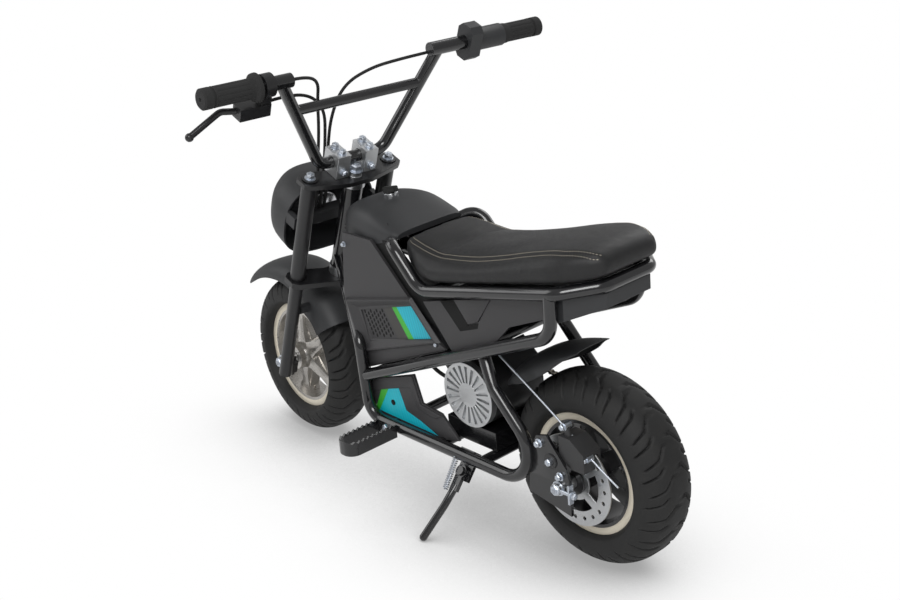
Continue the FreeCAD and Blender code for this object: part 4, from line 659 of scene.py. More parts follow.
@dataclass(frozen=True)
class Tyre:
    """A tyre with a rounded crown, grooves cut into its tread and ribbed sidewalls."""

    node: str
    radius: float
    width: float
    crown: float
    bead: float
    steps: int
    pitches: int
    body: Bodies

    DEPTH = 3.6
    GROOVES = (
        # shift round the tyre in pitches, inner end, bend, outer end, lean inside, lean outside
        (0.0, 4.0, 24.0, 50.0, 1.2, 0.35),
        (0.5, 20.0, 30.0, 58.0, 0.9, 0.3),
    )

    def profile(self) -> list[tuple[float, float, float, float]]:
        """One side of the outline: (reach, along, distance from the crown's middle, turn)."""
        flat = self.width / 2 - self.crown
        rows = [(self.radius, 0.0, 0.0, 90.0)]
        for step in range(1, 25):
            turn = 90.0 - 96.0 * step / 24
            angle = math.radians(turn)
            rows.append((self.radius - self.crown + self.crown * math.sin(angle),
                         flat + self.crown * math.cos(angle),
                         flat + self.crown * math.radians(90.0 - turn), turn))
        return rows

    def groove(self, round_by: float, across: float) -> float:
        """How deep the tread is cut, from 0 to 1, at a place of one side."""
        pitch = math.tau * self.radius / self.pitches
        depth = 0.0
        for shift, inner, bend, outer, near, far in self.GROOVES:
            if not inner - 3 < across < outer + 3:
                continue
            line = near * min(across, bend) + far * max(0.0, across - bend)
            off = (round_by - line - shift * pitch + pitch / 2) % pitch - pitch / 2
            lean = near if across < bend else far
            off = abs(off) / math.hypot(1.0, lean)
            half = 1.5 - 0.6 * (across - inner) / (outer - inner)
            ends = min(1.0, (across - inner + 2) / 4, (outer + 2 - across) / 6)
            depth = max(depth, min(1.0, max(0.0, (half + 0.9 - off) / 1.2)) * max(0.0, ends))
        return depth

    def build(self) -> bpy.types.Object:
        """The tyre."""
        side = self.profile()
        wall_reach, wall_along = side[-1][0], side[-1][1]
        inner = []
        for step in range(1, 9):
            share = step / 8
            rib = 0.7 if step in (2, 5) else 0.0
            inner.append((wall_reach + (90.5 - wall_reach) * share,
                          wall_along + (self.bead - wall_along) * share ** 1.6 - 0.4 + rib))
        inner += [(89.6, self.bead - 1.0), (84.0, self.bead - 1.0)]
        rows = [(reach, -along, -across, turn) for reach, along, across, turn in reversed(side[1:])] + side
        bm = bmesh.new()
        rings = []
        place = GEO.rear_wheel if self.body is Bodies.REAR_WHEEL else GEO.front_wheel
        for number in range(self.steps):
            spin = math.tau * number / self.steps
            cosine, sine = math.cos(spin), math.sin(spin)
            ring = []
            left = [(reach, -along) for reach, along in reversed(inner)]
            outline = left + [self.cut(row, spin) for row in rows] + inner
            for reach, along in outline:
                ring.append(bm.verts.new((reach * cosine, along, reach * sine)))
            rings.append(ring)
        for index, one in enumerate(rings):
            two = rings[(index + 1) % self.steps]
            for place_in, _ in enumerate(one):
                bm.faces.new((one[place_in - 1], one[place_in], two[place_in], two[place_in - 1]))
        bmesh.ops.recalc_face_normals(bm, faces=bm.faces)
        mesh = meshed(self.node + "_tread", bm, scaled(place))
        piece = finished(self.node + "_tread", mesh, Finishes.RUBBER, self.body, 60.0)
        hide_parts(self.node)
        return piece

    def cut(self, row: tuple[float, float, float, float], spin: float) -> tuple[float, float]:
        """A point of the outline, moved in where a groove runs."""
        reach, along, across, turn = row
        side = 0.25 if across < 0 else 0.0
        deep = self.groove(spin * self.radius + side * math.tau * self.radius / self.pitches,
                           abs(across)) * self.DEPTH
        angle = math.radians(turn)
        return (reach - deep * math.sin(angle) - 0.2,
                along - math.copysign(deep * math.cos(angle), across))


class Wheels:
    """Tyres, rim rings and spoke ribs."""

    RING = ((82.5, 0.0), (84.5, 0.9), (91.5, 0.9), (93.2, 0.2), (93.2, -2.4), (82.5, -2.4))

    def build(self) -> None:
        """Makes them."""
        Tyre("rear_tyre", 146.0, 94.0, 40.0, 31.5, 720, 20, Bodies.REAR_WHEEL).build()
        Tyre("front_tyre", 137.0, 78.0, 33.0, 19.5, 720, 20, Bodies.FRONT_WHEEL).build()
        for name, half, place, body in (
            ("rear", 35.5, GEO.rear_wheel, Bodies.REAR_WHEEL),
            ("front", 23.5, GEO.front_wheel, Bodies.FRONT_WHEEL),
        ):
            bm = bmesh.new()
            for side in (1, -1):
                spun(bm, [(reach, side * (half + along)) for reach, along in self.RING], 144)
            finished(name + "_rim_ring", meshed(name + "_rim_ring", bm, scaled(place)),
                     Finishes.IVORY, body)
        self.spokes()

    def spokes(self) -> None:
        """The front wheel's flared spoke faces, dished from the hub to the rim."""
        bm = bmesh.new()
        for side in (1, -1):
            for number in range(5):
                turn = Matrix.Rotation(-math.tau * number / 5, 4, "Y")
                rows = []
                for reach, half, face in ((18, 15, 24), (32, 11, 21), (52, 8.5, 16), (68, 10, 13.5),
                                          (78.5, 17, 12)):
                    rows.append([turn @ Vector((reach, side * low, along)) for low, along in (
                        (2, -half), (face - 3, -half), (face, -half * 0.55), (face, half * 0.55),
                        (face - 3, half), (2, half))])
                skinned(bm, rows)
        spun(bm, ((6.2, 39.0), (15, 39.0), (20, 33), (24, 20), (24, -20), (20, -33), (15, -39.0),
                  (6.2, -39.0)), 48)
        finished("front_spokes", meshed("front_spokes", bm, scaled(GEO.front_wheel)),
                 Finishes.FRONT_RIM, Bodies.FRONT_WHEEL, 30.0)


class Seat:
    """The stuffed bench seat, with its seams and stitching."""

    ROWS = (
        # x, bottom, top, half width below, half width above
        (318, 438, 446, 66, 56),
        (300, 413, 446, 77, 64),
        (272, 402, 443, 88, 68),
        (255, 397, 441, 91, 69),
        (228, 398.5, 440, 93, 70),
        (160, 413.5, 452, 93, 71),
        (100, 427.5, 468, 93, 72),
        (40, 441, 487, 92, 73),
        (-15, 453, 500, 89, 72),
        (-55, 462, 501, 66, 58),
        (-72, 470, 490, 52, 44),
    )
    CAP = 7.0
    FRAMES = 20

    def form(self) -> bpy.types.Object:
        """The seat before it is stuffed."""
        bm = bmesh.new()
        sections = []
        for x, low, high, below, above in self.ROWS:
            rise = high - low
            half = [(below - 3, low), (below, low + 0.25 * rise), (below - 1, low + 0.5 * rise),
                    (above + 0.5 * (below - above), low + 0.78 * rise), (above, low + 0.93 * rise),
                    (0.6 * above, high - 1), (0.3 * above, high)]
            points = [Vector((x, y, z)) for y, z in half]
            points += [Vector((x, -y, z)) for y, z in reversed(half)]
            sections.append(points)
        lines = [ribbon([section[index] for section in sections], 60)
                 for index in range(len(sections[0]))]
        skinned(bm, list(zip(*lines)))
        mesh = meshed("seat_stuffed", bm, scaled(GEO.bike))
        piece = finished("seat_stuffed", mesh, Finishes.SEAT, Bodies.FRAME, 180.0)
        remesh = piece.modifiers.new("even", "REMESH")
        remesh.mode = "VOXEL"
        remesh.voxel_size = 5.0 * MM
        self.settle(piece)
        return piece

    def settle(self, piece: bpy.types.Object) -> None:
        """Applies the piece's modifiers."""
        graph = bpy.context.evaluated_depsgraph_get()
        mesh = bpy.data.meshes.new_from_object(piece.evaluated_get(graph))
        piece.modifiers.clear()
        piece.data = mesh
        mesh.polygons.foreach_set("use_smooth", [True] * len(mesh.polygons))

    def stuff(self, piece: bpy.types.Object) -> None:
        """Blows the cover up under pressure, its base held fast, and limits how far it goes."""
        inward = GEO.bike.inverted()
        base = piece.vertex_groups.new(name="base")
        start = [vertex.co.copy() for vertex in piece.data.vertices]
        for vertex in piece.data.vertices:
            spot = inward @ vertex.co / MM
            base_height = 397 + 0.212 * (255 - spot.x) if spot.x < 255 else 397 + 0.6 * (spot.x - 255)
            if spot.z < base_height + 14:
                base.add([vertex.index], 1.0, "REPLACE")
        cloth = piece.modifiers.new("stuffing", "CLOTH")
        settings = cloth.settings
        settings.quality = 6
        settings.mass = 0.3
        settings.tension_stiffness = 30.0
        settings.compression_stiffness = 30.0
        settings.bending_stiffness = 12.0
        settings.use_pressure = True
        settings.uniform_pressure_force = 4.0
        settings.effector_weights.gravity = 0.0
        settings.vertex_group_mass = "base"
        cloth.collision_settings.use_collision = False
        cloth.point_cache.frame_start = 1
        cloth.point_cache.frame_end = self.FRAMES
        scene = bpy.context.scene
        scene.frame_start, scene.frame_end = 1, self.FRAMES
        for number in range(1, self.FRAMES + 1):
            scene.frame_set(number)
        self.settle(piece)
        scene.frame_set(1)
        for vertex, before in zip(piece.data.vertices, start):
            moved = vertex.co - before
            if moved.length > self.CAP * MM:
                vertex.co = before + moved.normalized() * self.CAP * MM
        self.calm(piece)

    def calm(self, piece: bpy.types.Object) -> None:
        """Evens out the small creases that the stuffing leaves."""
        bm = bmesh.new()
        bm.from_mesh(piece.data)
        for _ in range(6):
            bmesh.ops.smooth_vert(bm, verts=bm.verts, factor=0.5, use_axis_x=True, use_axis_y=True,
                                  use_axis_z=True)
        bm.to_mesh(piece.data)
        bm.free()

    def press(self, piece: bpy.types.Object) -> None:
        """Presses the seam lines into the cover."""
        inward = GEO.bike.inverted()
        for vertex in piece.data.vertices:
            spot = inward @ vertex.co / MM
            half, height = self.seam(spot.x)
            off = math.hypot(abs(spot.y) - half, (spot.z - height) * 0.6)
            if off < 14 and -60 < spot.x < 312:
                deep = 2.4 * math.exp(-(off / 4.5) ** 2)
                vertex.co -= GEO.bike.to_3x3() @ Vector((0, math.copysign(0.5, spot.y), 0.9)) * deep * MM

    def seam(self, x: float) -> tuple[float, float]:
        """How far out and how high the side seam runs.

        Args:
            x: place along the bike.

        Returns:
            The seam's distance from the middle plane and its height.
        """
        rows = self.ROWS
        for after, before in zip(rows, rows[1:]):
            if before[0] <= x <= after[0]:
                t = (x - before[0]) / (after[0] - before[0])
                half = (before[4] + (after[4] - before[4]) * t)
                low = before[1] + (after[1] - before[1]) * t
                high = before[2] + (after[2] - before[2]) * t
                return half + 2.0, low + 0.9 * (high - low)
        return rows[-1][4], rows[-1][2]

    def stitches(self, piece: bpy.types.Object) -> None:
        """Two rows of stitches on each side, laid on the cover."""
        tree = BVHTree.FromObject(piece, bpy.context.evaluated_depsgraph_get())
        bm = bmesh.new()
        for side in (1, -1):
            for offset in (-3.4, 3.4):
                spots = []
                for number in range(96):
                    x = 308 - number * 3.9
                    half, height = self.seam(x)
                    probe = GEO.bike @ (Vector((x, side * (half + offset), height + 30)) * MM)
                    down = GEO.bike.to_3x3() @ Vector((0, -0.12 * side, -1))
                    hit, normal, _, _ = tree.ray_cast(probe, down)
                    if hit is not None:
                        spots.append((hit, normal))
                for (one, normal), (two, _) in zip(spots, spots[1:]):
                    ahead = two - one
                    if ahead.length > 12 * MM:
                        continue
                    across = normal.cross(ahead).normalized()
                    frame_ = Matrix((ahead.normalized(), across, normal)).transposed().to_4x4()
                    middle = (one + two) / 2 + normal * 0.15 * MM
                    size = Matrix.Diagonal((ahead.length * 0.62, 0.9 * MM, 0.8 * MM, 1.0))
                    bmesh.ops.create_icosphere(bm, subdivisions=1, radius=0.5,
                                               matrix=Matrix.Translation(middle) @ frame_ @ size)
        finished("seat_stitches", meshed("seat_stitches", bm), Finishes.THREAD, Bodies.FRAME)

    def build(self) -> None:
        """Makes the seat."""
        piece = self.form()
        self.stuff(piece)
        self.press(piece)
        smooth = piece.modifiers.new("smooth", "SUBSURF")
        smooth.levels = smooth.render_levels = 1
        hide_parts("seat")
        self.stitches(piece)
        log.info("seat made")


class Panels:
    """The moulded side covers: bevelled windows, a grille and printed fields."""

    FACE = 80.1
    UPPER_FRAME = ((452, 318), (297, 356), (243, 300), (424, 237))
    UPPER_FLOOR = ((421, 308), (292, 345), (250, 301), (401, 263))
    REAR_GROOVE = ((231, 369), (200, 378), (174, 345), (151, 354), (154, 345), (192, 331))
    REAR_PLATE = ((200, 379), (122, 398), (152, 356), (173, 347))
    SILL = ((424, 236), (242, 299), (225, 293), (416, 213))
    LOWER_FRAME = ((409, 194), (311, 226), (296, 182), (248, 177), (262, 168), (300, 172), (318, 204),
                   (344, 196), (413, 171))
    LOWER_CYAN = ((372, 186), (347, 194), (333, 160), (300, 152), (262, 139), (399, 141))
    LOWER_GREEN = ((390, 180), (372, 186), (399, 141), (408, 142))

    def quad(self, corners: Sequence[tuple[float, float]], u: float, v: float) -> tuple[float, float]:
        """A point between four corners: front high, rear high, rear low, front low."""
        (a, b), (c, e), (f, g), (h, i) = corners
        top = (a + (c - a) * u, b + (e - b) * u)
        low = (h + (f - h) * u, i + (g - i) * u)
        return top[0] + (low[0] - top[0]) * v, top[1] + (low[1] - top[1]) * v

    def sheet(self, bm: bmesh.types.BMesh, points: Sequence[tuple[float, float]], side: int,
              depth: float) -> list[bmesh.types.BMVert]:
        """Points of a side cover at a depth below its face."""
        return [bm.verts.new((x, side * (self.FACE - depth), z)) for x, z in points]

    def window(self, side: int) -> None:
        """The upper cover's bevelled window with its floor, grille and printed fields."""
        hand = "left" if side > 0 else "right"
        bm = bmesh.new()
        around = (
            (0.1, ((-0.02, -0.03), (1.02, -0.03), (1.02, 1.03), (-0.02, 1.03))),
            (-5.5, ((0, 0), (1, 0), (1, 1), (0, 1))),
            (-6.0, ((0.02, 0.03), (0.985, 0.03), (0.985, 0.97), (0.02, 0.97))),
        )
        foot, rim, lip = (
            self.sheet(bm, [self.quad(self.UPPER_FRAME, u, v) for u, v in corners], side, depth)
            for depth, corners in around)
        low = self.sheet(bm, self.UPPER_FLOOR, side, 1.8)
        for one, two in ((foot, rim), (rim, lip), (lip, low)):
            for index in range(4):
                bm.faces.new((one[index - 1], one[index], two[index], two[index - 1]))
        bmesh.ops.recalc_face_normals(bm, faces=bm.faces)
        self.outward(bm, side)
        finished("window_" + hand, meshed("window_" + hand, bm, scaled(GEO.bike)),
                 Finishes.PANEL, Bodies.FRAME, 12.0)
        self.field(hand, "grille_floor", side, 0.0, 0.42, Finishes.PANEL)
        self.field(hand, "plain_strip", side, 0.42, 0.58, Finishes.TRIM)
        self.field(hand, "green_stripe", side, 0.58, 0.665, Finishes.GREEN)
        self.field(hand, "hatched_field", side, 0.665, 1.0, Finishes.CYAN)
        self.holes(hand, side)

    def outward(self, bm: bmesh.types.BMesh, side: int) -> None:
        """Turns the faces of an open sheet to its outer side."""
        total = sum(face.normal.y * face.calc_area() for face in bm.faces)
        if total * side < 0:
            bmesh.ops.reverse_faces(bm, faces=bm.faces)

    def field(self, hand: str, name: str, side: int, start: float, end: float, finish: Finish) -> None:
        """One upright stretch of the window's floor.

        Args:
            hand: left or right.
            name: its name.
            side: 1 for left, -1 for right.
            start: its front edge, as a share of the floor.
            end: its rear edge, as a share of the floor.
            finish: what it wears.
        """
        bm = bmesh.new()
        corners = [self.quad(self.UPPER_FLOOR, u, v)
                   for u, v in ((start, 0), (end, 0), (end, 1), (start, 1))]
        face = bm.faces.new(self.sheet(bm, corners, side, 1.6))
        extruded = bmesh.ops.extrude_face_region(bm, geom=[face])["geom"]
        moved = [item for item in extruded if isinstance(item, bmesh.types.BMVert)]
        bmesh.ops.translate(bm, vec=(0, -side * 0.4, 0), verts=moved)
        bmesh.ops.recalc_face_normals(bm, faces=bm.faces)
        finished(f"{name}_{hand}", meshed(f"{name}_{hand}", bm, scaled(GEO.bike)), finish, Bodies.FRAME)

    def holes(self, hand: str, side: int) -> None:
        """The grille's oval holes, in staggered rows, drawn as near-black discs of painted shade."""
        bm = bmesh.new()
        for column in range(7):
            for row in range(6):
                u = 0.045 + 0.055 * column
                v = 0.09 + 0.145 * row + (0.07 if column % 2 else 0.0)
                if v > 0.93:
                    continue
                x, z = self.quad(self.UPPER_FLOOR, u, v)
                place = Matrix.Translation((x, side * (self.FACE - 1.5), z)) \
                    @ Matrix.Rotation(math.radians(18), 4, "Y") @ Matrix.Rotation(math.pi / 2, 4, "X") \
                    @ Matrix.Diagonal((1.9, 3.1, 1.0, 1.0))
                bmesh.ops.create_cone(bm, cap_ends=True, segments=14, radius1=1.0, radius2=1.0,
                                      depth=0.3, matrix=place)
        # near-black discs: painted shade for the grille's holes
        finished("grille_holes_" + hand, meshed("grille_holes_" + hand, bm, scaled(GEO.bike)),
                 Finishes.HOLE_SHADE, Bodies.FRAME)

    def plate(self, name: str, points: Sequence[tuple[float, float]], side: int, depth: float,
              thick: float, finish: Finish, bevel: float = 0.0) -> None:
        """A flat plate on a side cover.

        Args:
            name: its name.
            points: its outline, x and z.
            side: 1 for left, -1 for right.
            depth: how far its back lies below the cover's face.
            thick: its thickness.
            finish: what it wears.
            bevel: bevel of its outer rim.
        """
        bm = bmesh.new()
        face = bm.faces.new(self.sheet(bm, points, side, depth))
        extruded = bmesh.ops.extrude_face_region(bm, geom=[face])["geom"]
        moved = [item for item in extruded if isinstance(item, bmesh.types.BMVert)]
        bmesh.ops.translate(bm, vec=(0, side * thick, 0), verts=moved)
        bmesh.ops.recalc_face_normals(bm, faces=bm.faces)
        if bevel:
            rim = [edge for edge in bm.edges if all(vert in moved for vert in edge.verts)]
            bmesh.ops.bevel(bm, geom=rim, offset=bevel, segments=2, affect="EDGES", profile=0.5)
        bmesh.ops.triangulate(bm, faces=[item for item in bm.faces if len(item.verts) > 4])
        finished(name, meshed(name, bm, scaled(GEO.bike)), finish, Bodies.FRAME, 30.0)

    def build(self) -> None:
        """Makes what lies on the side covers."""
        for side, hand in ((1, "left"), (-1, "right")):
            self.window(side)
            self.plate("sill_" + hand, self.SILL, side, 0.1, 1.6, Finishes.PANEL, 1.2)
            self.plate("lower_frame_" + hand, self.LOWER_FRAME, side, 0.1, 2.4, Finishes.PANEL, 1.6)
            self.plate("lower_cyan_" + hand, self.LOWER_CYAN, side, 0.1, 0.5, Finishes.CYAN)
            self.plate("lower_green_" + hand, self.LOWER_GREEN, side, 0.1, 0.6, Finishes.GREEN)
            # a near-black recessed disc: painted shade for the lower cover's hole
            bm = bmesh.new()
            post(bm, (363, side * 78, 165), (0, side, 0), 4.6, 3.2, 28)
            post(bm, (363, side * 81, 165), (0, side, 0), 4.6, 0.5, 28, 3.8)
            finished("lower_hole_" + hand, meshed("lower_hole_" + hand, bm, scaled(GEO.bike)),
                     Finishes.HOLE_SHADE, Bodies.FRAME)
            # a near-black strip: painted shade in the rear cover's groove
            self.plate("rear_groove_" + hand, self.REAR_GROOVE, side, 0.1, 0.3, Finishes.HOLE_SHADE)
            self.plate("rear_plate_" + hand, self.REAR_PLATE, side, 1.6, 3.4, Finishes.PANEL, 1.2)


@dataclass(frozen=True)
class Shell:
    """A moulded shell drawn as smooth sections."""

    name: str
    place: Matrix
    body: Bodies
    finish: Finish

    def superoval(self, half_width: float, half_height: float, power: float, count: int,
                  start: float = 0.0, sweep: float = 360.0) -> list[tuple[float, float]]:
        """Points of a rounded rectangle, or a stretch of one.

        Args:
            half_width: half its width.
            half_height: half its height.
            power: how square it is; 2 is an ellipse.
            count: number of points.
            start: angle of the first point, in degrees.
            sweep: how far round it goes, in degrees.

        Returns:
            The points, across and up.
        """
        points = []
        for number in range(count):
            turn = math.radians(start + sweep * number / (count if sweep > 359 else count - 1))
            across, up = math.cos(turn), math.sin(turn)
            points.append((half_width * math.copysign(abs(across) ** (2 / power), across),
                           half_height * math.copysign(abs(up) ** (2 / power), up)))
        return points

    def made(self, bm: bmesh.types.BMesh, node: str, smooth: float = 50.0) -> bpy.types.Object:
        """Puts the shell in its place instead of a node.

        Args:
            bm: the shell in its own frame.
            node: the node it stands for.
            smooth: the largest angle that is shaded smooth, in degrees.

        Returns:
            The finished piece.
        """
        mesh = meshed(self.name, bm, scaled(self.place))
        piece = finished(self.name, mesh, self.finish, self.body, smooth)
        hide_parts(node)
        return piece


class Bodywork:
    """Tank cover, headlight shell and both fenders, smoother than their solids."""

    TANK = (
        # x, half width, bottom, top
        (494, 30, 414, 436), (486, 42, 413, 450), (455, 62, 414, 467), (400, 73, 417, 471.5),
        (352, 71, 431, 455), (334, 64, 437, 446),
    )
    LAMP = ((0.0, 1.0, 1.0), (0.5, 0.96, 0.95), (0.85, 0.80, 0.84), (1.0, 0.66, 0.78))
    FRONT_FENDER = (
        # degrees up from straight ahead, crown, half width, radius of the side edge
        (41, 168, 38, 158), (52, 169, 45, 149), (75, 169, 47.5, 142), (100, 169, 48, 137),
        (122, 169, 48, 126), (145, 168, 48, 123),
    )
    REAR_FENDER = (
        (35, 183, 40, 172), (48, 184, 54, 157), (60, 184, 58, 152), (72, 183, 55, 158),
        (82, 184, 44, 173), (88, 187, 34, 183),
    )

    def tank(self) -> None:
        """The tank cover, its charge port and its key."""
        shell = Shell("tank_shell", GEO.bike, Bodies.FRAME, Finishes.COVER)
        sections = []
        rows = ribbon([Vector(row) for row in self.TANK], 40)
        for x, half, low, high in rows:
            arch = shell.superoval(half, high - low, 4.0, 33, 0.0, 180.0)
            sections.append([Vector((x, y, low + z)) for y, z in arch])
        bm = bmesh.new()
        skinned(bm, sections)
        shell.made(bm, "tank_cover")
        # a near-black disc: painted shade for the charge port's opening
        bm = bmesh.new()
        post(bm, (365, 61.5, 447.5), (0, 1, 1), 8.2, 3.4, 32)
        finished("charge_port", meshed("charge_port", bm, scaled(GEO.bike)), Finishes.HOLE_SHADE, Bodies.FRAME)
        bm = bmesh.new()
        bmesh.ops.create_cube(bm, size=1.0, matrix=Matrix.Translation((420, 0, 481.5))
                              @ Matrix.Rotation(math.radians(14), 4, "Y") @ Matrix.Diagonal((30, 9, 9, 1)))
        post(bm, (420, 0, 471), (0.07, 0, 1), 6, 9, 24)
        bmesh.ops.bevel(bm, geom=bm.edges[:], offset=1.2, segments=2, affect="EDGES")
        finished("key_head", meshed("key_head", bm, scaled(GEO.bike)), Finishes.GRIP, Bodies.FRAME)

    def lamp(self) -> None:
        """The headlight shell: open behind, with the lens's hole in front."""
        shell = Shell("lamp_shell", GEO.fork @ Matrix.Translation(Vector((12, 0, 281)) * MM),
                      Bodies.STEERING, Finishes.COVER)
        rows = ribbon([Vector(row) for row in self.LAMP], 14)
        loops = []
        for depth, wide, tall in rows:
            loops.append((depth * 78 - (3 if depth > 0 else 0), wide * 86 - 3, tall * 68 - 3))
        outer = [(depth * 78, wide * 86, tall * 68) for depth, wide, tall in reversed(rows)]
        sections = [[Vector((x, y, z)) for y, z in shell.superoval(wide, tall, 2.7, 64)]
                    for x, wide, tall in loops]
        for depth in (75.0, 78.0):
            sections.append([Vector((depth, y, z)) for y, z in shell.superoval(46.4, 46.4, 2.0, 64)])
        sections += [[Vector((x, y, z)) for y, z in shell.superoval(wide, tall, 2.7, 64)]
                     for x, wide, tall in outer]
        sections.append(sections[0])
        bm = bmesh.new()
        skinned(bm, sections, capped=False)
        bmesh.ops.remove_doubles(bm, verts=bm.verts, dist=0.001)
        bmesh.ops.recalc_face_normals(bm, faces=bm.faces)
        shell.made(bm, "headlight_shell", 40.0)
        bm = bmesh.new()
        spun(bm, ((30, 20.0), (46, 64.0), (44, 64.0), (28, 19.0), (2, 12.0), (0.5, 14.0), (2, 20.0)), 64)
        turn = shell.place @ Matrix.Rotation(math.radians(-90), 4, "Z")
        finished("lamp_bowl", meshed("lamp_bowl", bm, scaled(turn)), Finishes.KEY, Bodies.STEERING)

    def fender(self, name: str, place: Matrix, rows: Sequence[Point], body: Bodies, node: str) -> None:
        """A curved fender with rolled sides.

        Args:
            name: its name.
            place: the wheel's frame.
            rows: angle, crown, half width and edge radius of its sections.
            body: the body it rides on.
            node: the node it stands for.
        """
        shell = Shell(name, place, body, Finishes.COVER)
        sections = []
        for degrees, crown, half, low in ribbon([Vector(row) for row in rows], 48):
            turn = math.radians(degrees)
            points = []
            for inset in (0.0, 3.0):
                arch = shell.superoval(half - inset, crown - low, 2.6, 25, 0.0, 180.0)
                arch = [(y, low + z * (1 - inset / max(8.0, crown - low))) for y, z in arch]
                points += arch if not inset else reversed(arch)
            sections.append([Vector((reach * math.cos(turn), y, reach * math.sin(turn)))
                             for y, reach in points])
        bm = bmesh.new()
        skinned(bm, sections)
        if node == "front_fender":
            leg = Matrix.Rotation(math.radians(-20), 3, "Y") @ Vector((-25, 0, 130)) - Vector((11, 0, -2))
            for side in (1, -1):
                post(bm, (leg.x, side * 44, leg.z), (0, side, 0), 8, 19.7, 32)
                bolt(bm, (leg.x + 26, side * 46.4, leg.z - 14), (0, side, 0), 7, 1.4)
        else:
            tongue = math.degrees(math.atan2(297.75 - 146, 185))
            box = Matrix.Rotation(math.radians(-tongue), 4, "Y") @ Matrix.Translation((205, 0, 0))
            bmesh.ops.create_cube(bm, size=1.0, matrix=box @ Matrix.Diagonal((49, 60, 3, 1)))
        shell.made(bm, node, 50.0)

    def build(self) -> None:
        """Makes them."""
        self.tank()
        self.lamp()
        front = GEO.front_wheel @ Matrix.Translation(Vector((11, 0, -2)) * MM)
        self.fender("fender_front", front, self.FRONT_FENDER, Bodies.STEERING, "front_fender")
        self.fender("fender_rear", GEO.rear_wheel, self.REAR_FENDER, Bodies.FRAME, "rear_fender")


class Controls:
    """Ribbed grips with their end caps."""

    def grip(self, node: str, start: float, end: float, radius: float, flange: float) -> None:
        """A grip with a collar at each end and long flats moulded between them.

        Args:
            node: the node it stands for.
            start: its inner end, from the middle of the bar, negative to the right.
            end: its outer end.
            radius: its radius.
            flange: radius of its inner flange.
        """
        side = math.copysign(1.0, end)
        length = abs(end) - abs(start)
        rows = [(0, 11.3), (0, flange), (3, flange), (6, flange - 0.6), (9, radius + 0.6), (11, radius)]
        rows += [(14 + step * (length - 36) / 40, radius - 0.3) for step in range(41)]
        rows += [(length - 20, radius), (length - 19, radius - 2), (length - 16.5, radius - 2),
                 (length - 15.5, radius), (length - 2.5, radius), (length - 0.4, radius - 2.4),
                 (length - 0.4, 3.0), (length - 2.5, 2.6), (length - 2.5, 0.3)]
        bm = bmesh.new()
        sections = []
        for along, reach in rows:
            points = []
            for number in range(72):
                turn = math.tau * number / 72
                cut = 0.0
                if 16 < along < length - 22:
                    cut = 0.9 * max(0.0, math.cos(turn * 12)) ** 2
                here = reach - cut
                points.append(Vector((here * math.cos(turn), side * (abs(start) + along),
                                      here * math.sin(turn))))
            sections.append(points)
        skinned(bm, sections)
        place = GEO.fork @ Matrix.Translation(Vector((-20, 0, 577)) * MM)
        piece = finished(node + "_ribbed", meshed(node + "_ribbed", bm, scaled(place)), Finishes.GRIP,
                         Bodies.STEERING, 40.0)
        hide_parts(node)

    def build(self) -> None:
        """Makes them."""
        self.grip("grip_left", 187, 281.3, 16, 22)
        self.grip("grip_right", -269.5, -351.3, 15.5, 16.5)


